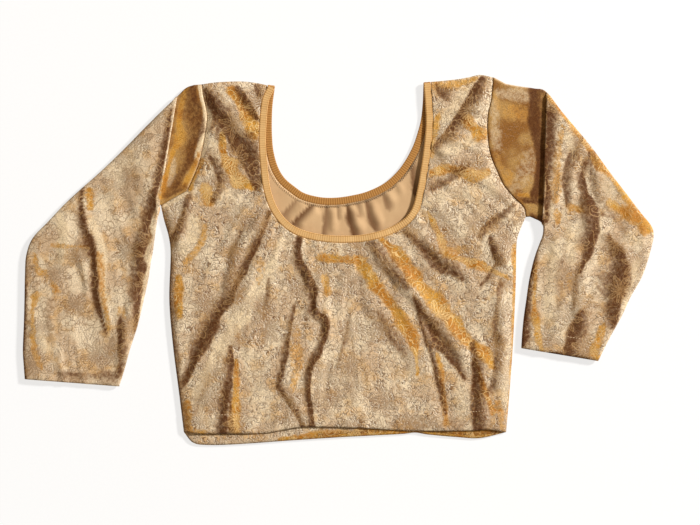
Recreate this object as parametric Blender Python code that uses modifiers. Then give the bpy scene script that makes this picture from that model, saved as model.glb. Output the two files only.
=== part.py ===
"""Choli blouse laid flat on its back, front up.

Two body panels, two sleeves folded over their caps, and one ring of neck binding. The frame's origin is the
middle of the underside: +X is the viewer's right, +Y points from the hem to the neck, +Z is up from the table.
All tables are in millimetres.
"""
import bpy
import bmesh
import numpy as np

MM = 0.001
WALL = 1.2             # cloth of the panels
SLEEVE_WALL = 1.3      # cloth of the sleeves
SEAM = 0.3             # air between two sewn pieces
BINDING_WIDTH = 7.6
BINDING_THICK = 1.7

FRONT_EDGE = 2 * WALL + SEAM   # top of the front panel along the side seams and shoulders
FRONT_BODY = 4.2               # top of the front panel between its folds
ROLL = 8.0                     # width over which the front panel rolls down to its edges

# outline of the body: x, y from the hem upwards
SIDE_RIGHT = [(-161.7, -180.6), (-166.9, -138.6), (-173.2, -89.2), (-177.0, -42.0), (-175.6, 5.0),
              (-177.5, 24.0), (-182.5, 42.0), (-185.8, 57.0)]
SIDE_LEFT = [(176.4, -180.6), (180.6, -130.2), (183.8, -84.0), (186.4, -28.0), (187.4, 16.8),
             (191.1, 31.5), (196.9, 45.1)]
UNDERARM_RIGHT = [(-185.8, 57.0), (-171.5, 65.5), (-158.5, 72.5)]
UNDERARM_LEFT = [(196.9, 45.1), (195.0, 55.0), (185.0, 65.0), (173.2, 79.0)]
ARMHOLE_RIGHT = [(-158.5, 72.5), (-146.4, 100.8), (-140.7, 127.0), (-137.5, 151.2), (-141.7, 172.2),
                 (-142.8, 184.3)]
ARMHOLE_LEFT = [(173.2, 79.0), (160.6, 108.1), (157.0, 130.0), (157.0, 151.2), (160.6, 168.0), (162.7, 191.6)]
SHOULDER_RIGHT = [(-142.8, 184.3), (-128.1, 186.4), (-102.9, 187.4), (-86.1, 185.8), (-74.4, 183.4)]
SHOULDER_LEFT = [(97.6, 186.9), (109.2, 187.9), (123.9, 189.5), (136.5, 191.6), (149.1, 194.2), (162.7, 191.6)]
HEM_FRONT = [(-161.7, -180.6), (-139.6, -182.2), (-97.7, -182.0), (-76.6, -181.6), (-57.7, -178.2),
             (-33.6, -175.1), (17.8, -175.9), (76.6, -179.1), (135.4, -179.1), (157.5, -178.0), (176.4, -180.6)]
HEM_BACK = [(-161.7, -180.6), (-152.2, -191.6), (-136.5, -194.2), (-102.9, -193.2), (-44.1, -189.0),
            (6.3, -185.8), (65.1, -182.7), (80.8, -181.1), (94.5, -183.2), (123.9, -185.8), (149.1, -186.9),
            (176.4, -180.6)]

# middle line of the neck binding, from the wearer's right shoulder to the left
NECK_FRONT = [(-70.1, 181.2), (-76.5, 165.9), (-79.2, 136.5), (-79.0, 115.5), (-76.6, 87.1), (-73.5, 70.3),
              (-67.7, 54.6), (-57.2, 39.9), (-44.1, 30.4), (-28.3, 25.2), (-10.5, 22.3), (7.3, 21.7),
              (28.3, 23.1), (49.3, 28.3), (63.0, 34.7), (74.5, 43.0), (81.9, 54.6), (86.1, 70.3), (89.2, 87.1),
              (93.4, 115.5), (95.8, 142.0), (95.0, 165.0), (93.4, 184.5)]
NECK_BACK = [(-70.1, 181.2), (-72.4, 163.8), (-73.2, 147.0), (-73.0, 130.2), (-71.4, 113.4), (-66.7, 96.6),
             (-59.3, 84.0), (-49.3, 75.1), (-36.7, 66.7), (-18.9, 62.2), (-2.1, 61.7), (14.7, 64.0),
             (31.5, 68.2), (49.3, 76.6), (63.0, 88.2), (73.5, 101.8), (81.9, 117.6), (87.1, 132.3),
             (90.8, 147.0), (92.7, 164.8), (93.4, 184.5)]

# folds: line of the steep flank from top to bottom, crest height, widths of the steep and gentle flanks
FRONT_FOLDS = [
    # from the wearer's right half of the neck down to the side
    ([(-74, 54), (-107, 15), (-113, -7), (-123, -45)], 3.2, 8, 20),
    ([(-68, 42), (-78, 18), (-96, -7), (-109, -37), (-132, -66), (-141, -85), (-163, -130)], 5.0, 9, 26),
    ([(-112, -90), (-124, -117), (-149, -154)], 2.2, 12, 22),
    ([(-40, 26), (-41, -4), (-31, -18), (-24, -58), (-14, -67), (-18, -87), (-31, -115), (-28, -176)], 3.6, 8, 20),
    ([(-49, -54), (-51, -71), (-58, -117), (-64, -140)], 2.4, 8, 18),
    ([(-59, -138), (-42, -160), (-35, -175)], 1.8, 8, 14),
    ([(-111, -118), (-117, -150), (-124, -182)], 2.8, 8, 14),
    # from the middle of the neck down to the wearer's left side of the hem
    ([(29, 18), (50, -8), (72, -34), (85, -52), (88, -71), (100, -100), (108, -141)], 4.2, 8, 22),
    ([(96, -58), (109, -85), (122, -94), (132, -119)], 3.4, 10, 18),
    ([(13, -65), (-3, -116)], 1.8, 9, 18),
    ([(85, 22), (100, 3), (107, -3), (123, -8), (127, -20)], 2.8, 8, 14),
    ([(159, 22), (162, 7), (166, -2), (162, -13), (152, -24)], 2.4, 7, 12),
    ([(166, -21), (170, -57), (168, -107), (162, -144)], 2.2, 7, 12),
    ([(142, -95), (148, -123), (146, -172)], 3.0, 9, 14),
    # across both shoulders
    ([(-135, 173), (-120, 153), (-104, 134), (-89, 114), (-83, 101)], 3.2, 10, 20),
    ([(-133, 107), (-124, 91), (-125, 77), (-133, 61)], 1.8, 8, 14),
    ([(144, 153), (123, 132), (102, 111)], 2.6, 10, 18),
    ([(150, 186), (141, 170), (134, 156)], 2.0, 9, 14),
]
BACK_FOLDS = [
    ([(-23, 56), (-34, 47), (-44, 38)], 2.0, 6, 12),
    ([(-8, 55), (-7, 40), (-7, 31)], 1.6, 6, 11),
    ([(13, 57), (15, 44), (23, 30)], 2.0, 6, 12),
    ([(34, 61), (37, 51), (42, 38)], 1.6, 6, 11),
    ([(51, 70), (56, 60), (60, 50)], 1.4, 6, 10),
]

# sleeves, a row per station from armhole to cuff: outer x, y, inner x, y, top of the cloth
RIGHT_STATIONS = [
    ((-151.0, 183.8), (-186.6, 58.6), 3.5),
    ((-159.5, 180.6), (-187.6, 56.6), 3.5),
    ((-168.0, 172.5), (-187.9, 53.6), 3.5),
    ((-186.9, 154.4), (-188.2, 49.6), 7.2),
    ((-203.7, 137.6), (-188.8, 45.8), 7.1),
    ((-220.5, 120.4), (-189.5, 41.6), 6.4),
    ((-237.3, 103.9), (-190.2, 36.8), 5.8),
    ((-254.1, 88.2), (-191.0, 31.4), 5.4),
    ((-270.9, 73.5), (-191.9, 25.2), 5.2),
    ((-287.7, 57.8), (-192.9, 18.6), 5.2),
    ((-304.5, 40.0), (-193.5, 13.1), 5.2),
    ((-320.3, 23.1), (-194.7, 5.3), 5.2),
    ((-327.1, 5.3), (-196.4, -3.2), 5.0),
    ((-328.5, -15.8), (-198.5, -17.9), 5.0),
    ((-329.0, -42.0), (-203.7, -42.0), 5.0),
    ((-329.7, -68.3), (-210.0, -68.3), 4.8),
    ((-330.7, -94.5), (-218.4, -94.5), 4.6),
    ((-329.7, -112.0), (-224.0, -115.0), 4.5),
    ((-328.7, -125.0), (-229.5, -132.6), 4.4),
]
LEFT_STATIONS = [
    ((176.4, 184.8), (201.6, 45.4), 3.5),
    ((191.1, 182.2), (206.0, 43.4), 3.5),
    ((205.8, 180.1), (210.4, 41.4), 3.5),
    ((218.2, 176.9), (213.6, 39.0), 3.5),
    ((234.2, 156.5), (215.0, 35.6), 7.2),
    ((251.0, 136.5), (215.2, 31.6), 7.1),
    ((266.7, 117.6), (214.8, 27.4), 6.6),
    ((283.5, 94.5), (213.7, 23.2), 6.2),
    ((300.3, 72.5), (212.1, 19.4), 5.8),
    ((317.1, 50.4), (210.0, 13.7), 5.6),
    ((330.8, 31.0), (207.4, 6.8), 5.6),
    ((327.6, 8.4), (204.0, -5.0), 5.6),
    ((319.2, -17.0), (200.3, -22.0), 5.4),
    ((307.0, -38.9), (197.4, -42.0), 5.4),
    ((297.2, -60.0), (194.8, -60.0), 5.2),
    ((285.0, -82.0), (193.2, -76.5), 5.0),
    ((273.0, -106.0), (192.2, -92.5), 4.8),
]
# cells of the panels: columns beside, below and beside the neck; rows below, along and above the underarm
FRONT_COLUMNS, FRONT_ROWS, FRONT_CORNERS = (16, 26, 16), (15, 3, 9), (0.30, 0.69)
BACK_COLUMNS, BACK_ROWS, BACK_CORNERS = (8, 22, 8), (10, 2, 7), (0.28, 0.74)
NECK_STEPS = 240

# knife pleat seen from its end: distance under the folded-over cloth, height of the cloth's outer face
PLEAT = [(0.0, 3.5), (9.0, 3.5), (13.6, 3.5), (14.7, 3.7), (14.7, 4.1), (13.6, 4.3), (9.0, 4.3), (1.6, 4.3),
         (0.3, 4.8), (0.0, 5.7), (0.3, 6.6), (1.8, 7.1), (7.0, 7.2)]

RIGHT_FOLDS = [
    ([(-258, 72), (-249, 42), (-248, 21), (-249, -12), (-247, -37), (-239, -70)], 2.4, 7, 16),
    ([(-268, 69), (-267, 37), (-272, 10)], 1.8, 7, 14),
    ([(-202, 45), (-212, 2), (-214, -30), (-225, -68), (-227, -100), (-232, -126)], 2.0, 8, 12),
]
LEFT_FOLDS = [
    ([(253, 129), (248, 107), (240, 80), (239, 58)], 2.2, 8, 16),
    ([(255, 82), (258, 55), (262, 29), (261, 5), (254, -10), (248, -47), (252, -69), (246, -91)], 2.6, 8, 18),
    ([(285, 20), (296, -3), (289, -37), (288, -64)], 3.4, 12, 20),
]


def curve(points, at):
    """Smooth line through the points of a table, taken at fractions of its length."""
    p = np.array(points, float)
    p = np.vstack([2 * p[0] - p[1], p, 2 * p[-1] - p[-2]])
    t = np.linspace(0, 1, 13)[:-1, None]
    parts = []
    for a, b, c, d in zip(p, p[1:], p[2:], p[3:]):
        parts.append(0.5 * (2 * b + (c - a) * t + (2 * a - 5 * b + 4 * c - d) * t ** 2
                            + (3 * b - a - 3 * c + d) * t ** 3))
    dense = np.vstack(parts + [p[-2:-1]])
    run = np.r_[0, np.cumsum(np.linalg.norm(np.diff(dense, axis=0), axis=1))]
    return np.column_stack([np.interp(np.asarray(at) * run[-1], run, dense[:, k]) for k in range(dense.shape[1])])


def even(count):
    return np.linspace(0, 1, count + 1)


def edged(count, first=0.0, last=0.0):
    """Fractions with a short first or last step of the given share."""
    inner = np.linspace(first, 1 - last, count + 1 - (first > 0) - (last > 0))
    return np.r_[[0.0] if first else [], inner, [1.0] if last else []]


def shifted(line, amount):
    """Plan line moved to its right-hand side."""
    step = np.gradient(line, axis=0)
    step /= np.linalg.norm(step, axis=1)[:, None]
    return line + amount * np.column_stack([step[:, 1], -step[:, 0]])


def ease(t):
    t = np.clip(t, 0, 1)
    return t * t * (3 - 2 * t)


def nearest(spots, line):
    """Signed distance to a plan line (positive on its left-hand side) and the fraction of its length."""
    a, b = line[:-1], line[1:]
    ab = b - a
    length = np.linalg.norm(ab, axis=1)
    gap = spots[:, None, :] - a
    t = np.clip((gap * ab).sum(2) / length ** 2, 0, 1)
    off = gap - t[..., None] * ab
    dist = np.linalg.norm(off, axis=2)
    best = dist.argmin(1)
    row = np.arange(len(spots))
    side = ab[best, 0] * gap[row, best, 1] - ab[best, 1] * gap[row, best, 0]
    run = np.r_[0, np.cumsum(length)]
    return np.where(side < 0, -1, 1) * dist[row, best], (run[best] + t[row, best] * length[best]) / run[-1]


def fold_height(spots, table):
    """Height of the folds: each row rises over its steep flank and falls away over its gentle one."""
    height = np.zeros(len(spots))
    for line, crest, steep, gentle in table:
        d, s = nearest(spots, curve(line, even(24)))
        rise = ease(d / steep + 0.5)
        fall = 1 - ease((d - steep / 2) / gentle)
        taper = ease(4.5 * s) * ease(4.5 * (1 - s))
        height += crest * taper * rise * fall
    return height


def patch(bottom, right, top, left, s, t):
    """Grid of plan points between four edge lines (Coons patch)."""
    s, t = np.asarray(s)[None, :, None], np.asarray(t)[:, None, None]
    sides = (1 - s) * left[:, None] + s * right[:, None] + (1 - t) * bottom[None] + t * top[None]
    corners = ((1 - s) * (1 - t) * bottom[0] + s * (1 - t) * bottom[-1]
               + (1 - s) * t * top[0] + s * t * top[-1])
    return sides - corners


def neck_marks(mid_cols, high, corners):
    """Places along a neck line shared by a panel's edge and the binding: limb, arc, limb."""
    a, b = corners
    t = edged(high, 0, 0.03)
    marks = np.r_[a * (1 - t[::-1]), (a + (b - a) * even(mid_cols))[1:-1], b + (1 - b) * t]
    return np.round(marks * NECK_STEPS).astype(int)


def body_grid(neck, hem, columns, rows, corners, hem_at):
    """Three plan grids: the body below the neck and the two shoulders beside it."""
    left_cols, mid_cols, right_cols = columns
    low, arm, high = rows
    edge = shifted(curve(neck, even(NECK_STEPS)), BINDING_WIDTH / 2 + SEAM)[neck_marks(mid_cols, high, corners)]
    limb_a, arc, limb_b = edge[high::-1].copy(), edge[high:-high], edge[-high - 1:].copy()
    limb_a[-1], limb_b[-1] = SHOULDER_RIGHT[-1], SHOULDER_LEFT[0]
    at_l, at_c, at_r = edged(left_cols, 0.035), even(mid_cols), edged(right_cols, 0, 0.035)
    line_l = np.linspace(UNDERARM_RIGHT[-1], arc[0], 101)
    line_r = np.linspace(arc[-1], UNDERARM_LEFT[-1], 101)
    top = np.vstack([curve(line_l, at_l), arc[1:], curve(line_r, at_r)[1:]])
    a, b = hem_at
    s = np.r_[a * at_l, (a + (b - a) * at_c)[1:], (b + (1 - b) * at_r)[1:]]
    side_l = np.vstack([curve(SIDE_RIGHT, even(low)), curve(UNDERARM_RIGHT, even(arm))[1:]])
    side_r = np.vstack([curve(SIDE_LEFT, even(low)), curve(UNDERARM_LEFT, even(arm))[1:]])
    body = patch(curve(hem, s), side_r, top, side_l, s, even(low + arm))
    t = edged(high, 0, 0.03)
    shoulder_a = patch(top[:left_cols + 1], limb_a, curve(SHOULDER_RIGHT, at_l), curve(ARMHOLE_RIGHT, t), at_l, t)
    shoulder_b = patch(top[-right_cols - 1:], curve(ARMHOLE_LEFT, t), curve(SHOULDER_LEFT, at_r), limb_b, at_r, t)
    return [body, shoulder_a, shoulder_b]


def front_height(spots):
    """Top of the front panel: rolled down to the side seams and shoulders, raised along the folds."""
    rolled = [curve(line, even(60)) for line in (SIDE_RIGHT, SIDE_LEFT, UNDERARM_RIGHT, UNDERARM_LEFT,
                                                  ARMHOLE_RIGHT, ARMHOLE_LEFT, SHOULDER_RIGHT, SHOULDER_LEFT)]
    edge = np.min([abs(nearest(spots, line)[0]) for line in rolled], axis=0)
    height = FRONT_EDGE + (FRONT_BODY - FRONT_EDGE) * ease(edge / ROLL + 0.12 * (edge > 1))
    return height + fold_height(spots, FRONT_FOLDS) * ease(edge / 12)


def back_height(spots):
    """Underside of the back panel: flat on the table but for the gathers under its binding."""
    off = abs(nearest(spots, curve(NECK_BACK, even(60)))[0])
    return fold_height(spots, BACK_FOLDS) * ease((off - BINDING_WIDTH / 2 - 1) / 5)


def grid_mesh(grids, height):
    """Vertices and quads of plan grids lifted to a height."""
    verts, faces = [], []
    for grid in grids:
        rows, cols = grid.shape[:2]
        start = len(verts)
        flat = grid.reshape(-1, 2)
        verts += [(x, y, z) for (x, y), z in zip(flat, height(flat))]
        for j in range(rows - 1):
            for i in range(cols - 1):
                a = start + j * cols + i
                faces.append((a, a + 1, a + cols + 1, a + cols))
    return verts, faces


def add_piece(name, verts, faces, material, wall=None, flip=False):
    """One piece of the blouse; an open surface gets its cloth wall from a Solidify modifier."""
    mesh = bpy.data.meshes.new(name)
    mesh.from_pydata([tuple(MM * c for c in v) for v in np.asarray(verts).tolist()], [], faces)
    bm = bmesh.new()
    bm.from_mesh(mesh)
    bmesh.ops.remove_doubles(bm, verts=bm.verts, dist=1e-6)
    if flip:
        bmesh.ops.reverse_faces(bm, faces=bm.faces)
    bm.to_mesh(mesh)
    bm.free()
    mesh.materials.append(material)
    piece = bpy.data.objects.new(name, mesh)
    parts.objects.link(piece)
    if wall:
        shell = piece.modifiers.new("Cloth", "SOLIDIFY")
        shell.thickness = wall * MM
        shell.offset = -1
        shell.use_quality_normals = True
    return piece


def armhole_edge(armhole, underarm, rows):
    """Corner points of a panel along its armhole, from the shoulder to the underarm."""
    return np.vstack([curve(armhole, edged(rows[2], 0, 0.03))[::-1], curve(underarm, even(rows[1]))[-2::-1]])


def marks_of(line):
    run = np.r_[0, np.cumsum(np.linalg.norm(np.diff(line, axis=0), axis=1))]
    return run / run[-1], run[-1]


def section(upper, lower, top, at_over, at_under):
    """Closed ring round a flattened tube: over the upper cloth to the inner edge and back underneath."""
    rounding, rising = np.array([0.0, 0.16, 0.65]) * top, np.array([0.5, 0.83, 1.0])
    rings = []
    for line, at in ((upper, at_over), (lower, at_under)):
        marks, width = marks_of(line)
        near = rounding / width
        across = np.r_[near, near[-1] + (1 - 2 * near[-1]) * at, 1 - near[::-1]]
        plan = np.column_stack([np.interp(across, marks, line[:, k]) for k in range(2)])
        rings.append((plan, np.minimum(across, 1 - across) * width))
    (over, inside), (under, _) = rings
    plan = np.vstack([over, under[-2:0:-1]])
    rise = np.r_[rising, np.ones(len(at_over)), rising[::-1], 1 - rising[1:], np.zeros(len(at_under)),
                 1 - rising[:0:-1]]
    return plan, rise * top, np.r_[inside, np.zeros(len(plan) - len(inside))]


def sleeve(stations, armhole, underarm, pleat_row, away, side, folds):
    """Flattened tube from armhole to cuff, its upper cloth folded back on itself at the pleat."""
    edges = [armhole_edge(armhole, underarm, rows) for rows in (FRONT_ROWS, BACK_ROWS)]
    for edge in edges:                       # the tube's fold ends just short of the underarm's corner
        back = edge[-2] - edge[-1]
        edge[-1] += 2.6 * back / np.linalg.norm(back)
    over, under = (marks_of(edge)[0][1:-1] for edge in edges)
    lines = [np.array([outer, inner], float) for outer, inner, _ in stations]
    tops = [top for *_, top in stations]
    starts = [shifted(edge, side * (SEAM + 0.35)) for edge in edges]
    for edge, start in zip(edges, starts):
        start[-1] += 2.5 * (start[-1] - edge[-1])
    rings = [section(*starts, tops[0], over, under)]
    for row, (line, top) in enumerate(zip(lines, tops)):
        rings.append(section(line, line, top, over, under))
        if row != pleat_row:
            continue
        for step, (depth, height) in enumerate(PLEAT, 1):
            share = 0.7 * step / len(PLEAT)
            base = line + share * (lines[row + 1] - line)
            plan, z, inside = section(base, base, top + share * (tops[row + 1] - top), over, under)
            plan = plan + ease((inside - 7) / 14)[:, None] * depth * np.array(away)
            rings.append((plan, z + ease(inside / 6) * (height - z), inside))
    count = len(rings[0][0])
    verts = []
    for plan, z, inside in rings:
        z = z + fold_height(plan, folds) * ease(inside / 14)
        verts += [(x, y, h) for (x, y), h in zip(plan, z)]
    faces = []
    for j in range(len(rings) - 1):
        for i in range(count):
            a, b = j * count + i, j * count + (i + 1) % count
            faces.append((a, b, b + count, a + count))
    return verts, faces


def binding():
    """One ring: down the front, over the wearer's left shoulder, back along the back neck, over the right."""
    front = curve(NECK_FRONT, even(NECK_STEPS))[neck_marks(FRONT_COLUMNS[1], FRONT_ROWS[2], FRONT_CORNERS)]
    back = curve(NECK_BACK, even(NECK_STEPS))[neck_marks(BACK_COLUMNS[1], BACK_ROWS[2], BACK_CORNERS)][::-1]
    top = np.maximum(front_height(front) - WALL / 2, BINDING_THICK * 1.5 + SEAM + 0.05)
    low = BINDING_THICK / 2
    path, aside = [], []
    for line, z, hand in ((front, top, 1), (back, np.full(len(back), low), -1)):
        out = np.column_stack([hand * (shifted(line, 1) - line), np.zeros(len(line))])
        path += list(np.column_stack([line, z]))
        aside += list(out)
        start, end = (z[-1], low) if hand > 0 else (low, top[0])
        for angle in np.radians([45, 90, 135]):
            lean = (start + end) / 2 + (start - end) / 2 * np.cos(angle)
            path.append(np.array([*line[-1] + [0, abs(start - end) / 2 * np.sin(angle)], lean]))
            aside.append(out[-1])
    path, aside = np.array(path), np.array(aside)
    ahead = np.roll(path, -1, axis=0) - np.roll(path, 1, axis=0)
    out = np.cross(aside, ahead)
    out /= np.linalg.norm(out, axis=1)[:, None]
    ring = [(-1, -0.35), (-1, 0.35), (-0.82, 1), (0.82, 1), (1, 0.35), (1, -0.35), (0.82, -1), (-0.82, -1)]
    verts = [p + b * u * BINDING_WIDTH / 2 + n * v * BINDING_THICK / 2
             for p, b, n in zip(path, aside, out) for u, v in ring]
    count, size = len(path), len(ring)
    faces = [(j * size + i, j * size + (i + 1) % size, (j + 1) % count * size + (i + 1) % size,
              (j + 1) % count * size + i) for j in range(count) for i in range(size)]
    return verts, faces


def material(name, colour, roughness):
    cloth = bpy.data.materials.new(name)
    cloth.use_nodes = True
    shader = cloth.node_tree.nodes["Principled BSDF"]
    shader.inputs["Base Color"].default_value = (*colour, 1)
    shader.inputs["Roughness"].default_value = roughness
    return cloth


for old in list(bpy.data.objects):
    bpy.data.objects.remove(old, do_unlink=True)
parts = bpy.data.collections.new("choli_blouse")
bpy.context.scene.collection.children.link(parts)
velvet = material("embossed gold velvet", (0.50, 0.36, 0.22), 0.6)
rib = material("gold rib binding", (0.60, 0.37, 0.17), 0.7)

front_grids = body_grid(NECK_FRONT, HEM_FRONT, FRONT_COLUMNS, FRONT_ROWS, FRONT_CORNERS, (0.3, 0.72))
back_grids = body_grid(NECK_BACK, HEM_BACK, BACK_COLUMNS, BACK_ROWS, BACK_CORNERS, (0.32, 0.70))
pieces = [
    ("front_panel", *grid_mesh(front_grids, front_height), velvet, WALL, False),
    ("back_panel", *grid_mesh(back_grids, back_height), velvet, WALL, True),
    ("right_sleeve", *sleeve(RIGHT_STATIONS, ARMHOLE_RIGHT, UNDERARM_RIGHT, 2, (-0.985, -0.17), 1, RIGHT_FOLDS),
     velvet, SLEEVE_WALL, True),
    ("left_sleeve", *sleeve(LEFT_STATIONS, ARMHOLE_LEFT, UNDERARM_LEFT, 3, (1.0, 0.0), -1, LEFT_FOLDS),
     velvet, SLEEVE_WALL, False),
    ("neck_binding", *binding(), rib, None, False),
]
everything = np.vstack([np.asarray(verts, float) for _, verts, *_ in pieces])
low, high = everything.min(0), everything.max(0)
middle = np.array([(low[0] + high[0]) / 2, (low[1] + high[1]) / 2, low[2]])
for name, verts, faces, cloth, wall, flip in pieces:
    add_piece(name, np.asarray(verts, float) - middle, faces, cloth, wall, flip)
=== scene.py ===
"""Looks of a choli blouse laid flat on its back, front up.

Gold stretch velvet, embossed all over with flowers and scrolls, rib binding round the scoop neck, each sleeve
folded over its smooth cap in a knife pleat. Tables are in millimetres, in the frame's axes; meshes in metres.
"""
import math
from functools import partial

import bmesh
import bpy
import numpy as np
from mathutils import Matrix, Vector


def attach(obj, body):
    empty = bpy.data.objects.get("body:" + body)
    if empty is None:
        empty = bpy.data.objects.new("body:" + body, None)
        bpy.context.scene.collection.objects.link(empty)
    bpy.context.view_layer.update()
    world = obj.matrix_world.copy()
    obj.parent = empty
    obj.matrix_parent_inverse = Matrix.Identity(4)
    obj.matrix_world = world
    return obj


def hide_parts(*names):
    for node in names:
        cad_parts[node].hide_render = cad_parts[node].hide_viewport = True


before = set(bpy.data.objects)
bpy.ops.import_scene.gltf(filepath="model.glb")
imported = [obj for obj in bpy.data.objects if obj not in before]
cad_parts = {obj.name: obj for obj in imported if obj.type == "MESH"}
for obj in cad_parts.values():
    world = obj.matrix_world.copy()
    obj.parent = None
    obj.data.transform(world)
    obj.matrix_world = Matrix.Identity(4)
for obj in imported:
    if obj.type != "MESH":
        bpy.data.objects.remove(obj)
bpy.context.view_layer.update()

MM = 0.001
WALL = 1.2             # cloth of the panels
SLEEVE_WALL = 1.3      # cloth of the sleeves
SEAM = 0.3             # air between two sewn pieces
BINDING_WIDTH = 7.6
BINDING_THICK = 1.7
FRONT_EDGE = 2 * WALL + SEAM   # top of the front panel along the side seams and shoulders
FRONT_BODY = 4.2               # top of the front panel between its folds
ROLL = 8.0                     # width over which the front panel rolls down to its edges

# outline of the body: x, y from the hem upwards
SIDE_RIGHT = [(-161.7, -180.6), (-166.9, -138.6), (-173.2, -89.2), (-177.0, -42.0), (-175.6, 5.0),
              (-177.5, 24.0), (-182.5, 42.0), (-185.8, 57.0)]
SIDE_LEFT = [(176.4, -180.6), (180.6, -130.2), (183.8, -84.0), (186.4, -28.0), (187.4, 16.8),
             (191.1, 31.5), (196.9, 45.1)]
UNDERARM_RIGHT = [(-185.8, 57.0), (-171.5, 65.5), (-158.5, 72.5)]
UNDERARM_LEFT = [(196.9, 45.1), (195.0, 55.0), (185.0, 65.0), (173.2, 79.0)]
ARMHOLE_RIGHT = [(-158.5, 72.5), (-146.4, 100.8), (-140.7, 127.0), (-137.5, 151.2), (-141.7, 172.2),
                 (-142.8, 184.3)]
ARMHOLE_LEFT = [(173.2, 79.0), (160.6, 108.1), (157.0, 130.0), (157.0, 151.2), (160.6, 168.0), (162.7, 191.6)]
SHOULDER_RIGHT = [(-142.8, 184.3), (-128.1, 186.4), (-102.9, 187.4), (-86.1, 185.8), (-74.4, 183.4)]
SHOULDER_LEFT = [(97.6, 186.9), (109.2, 187.9), (123.9, 189.5), (136.5, 191.6), (149.1, 194.2),
                 (162.7, 191.6)]
HEM_FRONT = [(-161.7, -180.6), (-139.6, -182.2), (-97.7, -182.0), (-76.6, -181.6), (-57.7, -178.2),
             (-33.6, -175.1), (17.8, -175.9), (76.6, -179.1), (135.4, -179.1), (157.5, -178.0),
             (176.4, -180.6)]
HEM_BACK = [(-161.7, -180.6), (-152.2, -191.6), (-136.5, -194.2), (-102.9, -193.2), (-44.1, -189.0),
            (6.3, -185.8), (65.1, -182.7), (80.8, -181.1), (94.5, -183.2), (123.9, -185.8), (149.1, -186.9),
            (176.4, -180.6)]

# middle line of the neck binding, from the wearer's right shoulder to the left
NECK_FRONT = [(-70.1, 181.2), (-76.5, 165.9), (-79.2, 136.5), (-79.0, 115.5), (-76.6, 87.1), (-73.5, 70.3),
              (-67.7, 54.6), (-57.2, 39.9), (-44.1, 30.4), (-28.3, 25.2), (-10.5, 22.3), (7.3, 21.7),
              (28.3, 23.1), (49.3, 28.3), (63.0, 34.7), (74.5, 43.0), (81.9, 54.6), (86.1, 70.3),
              (89.2, 87.1),
              (93.4, 115.5), (95.8, 142.0), (95.0, 165.0), (93.4, 184.5)]
NECK_BACK = [(-70.1, 181.2), (-72.4, 163.8), (-73.2, 147.0), (-73.0, 130.2), (-71.4, 113.4), (-66.7, 96.6),
             (-59.3, 84.0), (-49.3, 75.1), (-36.7, 66.7), (-18.9, 62.2), (-2.1, 61.7), (14.7, 64.0),
             (31.5, 68.2), (49.3, 76.6), (63.0, 88.2), (73.5, 101.8), (81.9, 117.6), (87.1, 132.3),
             (90.8, 147.0), (92.7, 164.8), (93.4, 184.5)]

# folds: line of the steep flank from top to bottom, crest height, widths of the steep and gentle flanks
FRONT_FOLDS = [
    # wearer's right: neck to side
    ([(-75, 54), (-107, 15), (-114, -7), (-123, -45)], 3.4, 7, 16),
    ([(-68, 42), (-78, 18), (-96, -7), (-109, -37), (-132, -66), (-141, -85), (-163, -130)], 5.2, 11, 24),
    ([(-112, -90), (-124, -117), (-149, -154)], 2.4, 12, 18),
    ([(-158, 67), (-166, 37), (-173, 10)], 2.4, 6, 9),
    ([(-130, 10), (-140, -26), (-149, -61)], 1.3, 9, 16),
    ([(-139, -97), (-155, -139), (-159, -173)], 1.2, 10, 14),
    # below the neck
    ([(-40, 26), (-41, -2), (-33, -19), (-25, -38), (-23, -58), (-14, -69), (-18, -87), (-30, -116),
      (-32, -138), (-28, -174)], 4, 8, 18),
    ([(-23, 20), (-23, -2)], 1.6, 5, 10),
    ([(-70, -22), (-72, -38), (-76, -52)], 1.5, 6, 10),
    ([(-49, -54), (-51, -71), (-58, -117), (-64, -140)], 2.6, 7, 15),
    ([(-62, -134), (-42, -160), (-35, -176)], 2, 7, 12),
    ([(-111, -118), (-118, -147), (-124, -183)], 3.4, 8, 12),
    ([(13, -65), (5, -88), (-3, -116)], 1.6, 5, 14),
    ([(15, -34), (40, -61), (58, -81), (71, -99), (74, -130)], 1.8, 11, 14),
    ([(19, 17), (19, 5)], 1.2, 5, 8),
    # middle of the neck to the wearer's left hem
    ([(29, 18), (50, -8), (74, -36), (93, -60), (113, -81), (125, -98), (132, -120)], 5.4, 11, 15),
    ([(86, -45), (83, -61), (92, -81), (100, -106), (108, -143)], 2, 4, 9),
    ([(85, 26), (102, 4), (119, -8), (127, -22)], 3.6, 9, 12),
    ([(135, -17), (139, -36)], 1.2, 5, 8),
    ([(186, 58), (173, 45), (162, 36)], 2.2, 6, 9),
    ([(161, 25), (165, 7), (168, -4), (164, -12), (153, -25)], 3.4, 9, 9),
    ([(172, 23), (176, 0), (183, -18)], 2.2, 6, 6),
    ([(165, -21), (164, -43), (170, -68), (168, -107), (167, -127), (162, -146)], 2.4, 8, 10),
    ([(142, -90), (145, -106), (148, -131), (147, -178)], 3.8, 9, 11),
    ([(150, -97), (156, -113), (166, -139)], 1.8, 5, 7),
    ([(120, -139), (122, -160), (120, -180)], 1.2, 7, 9),
    # across both shoulders
    ([(-138, 175), (-120, 153), (-104, 134), (-89, 114), (-83, 99)], 3.6, 11, 16),
    ([(-104, 173), (-94, 162), (-85, 148)], 2.2, 7, 10),
    ([(-133, 109), (-124, 91), (-125, 77), (-134, 60)], 2, 8, 12),
    ([(144, 153), (123, 132), (100, 109)], 2.8, 9, 14),
    ([(153, 187), (143, 171), (133, 155)], 2.6, 11, 13),
    ([(114, 88), (108, 67), (99, 48)], 1.4, 8, 14),
]
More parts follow.
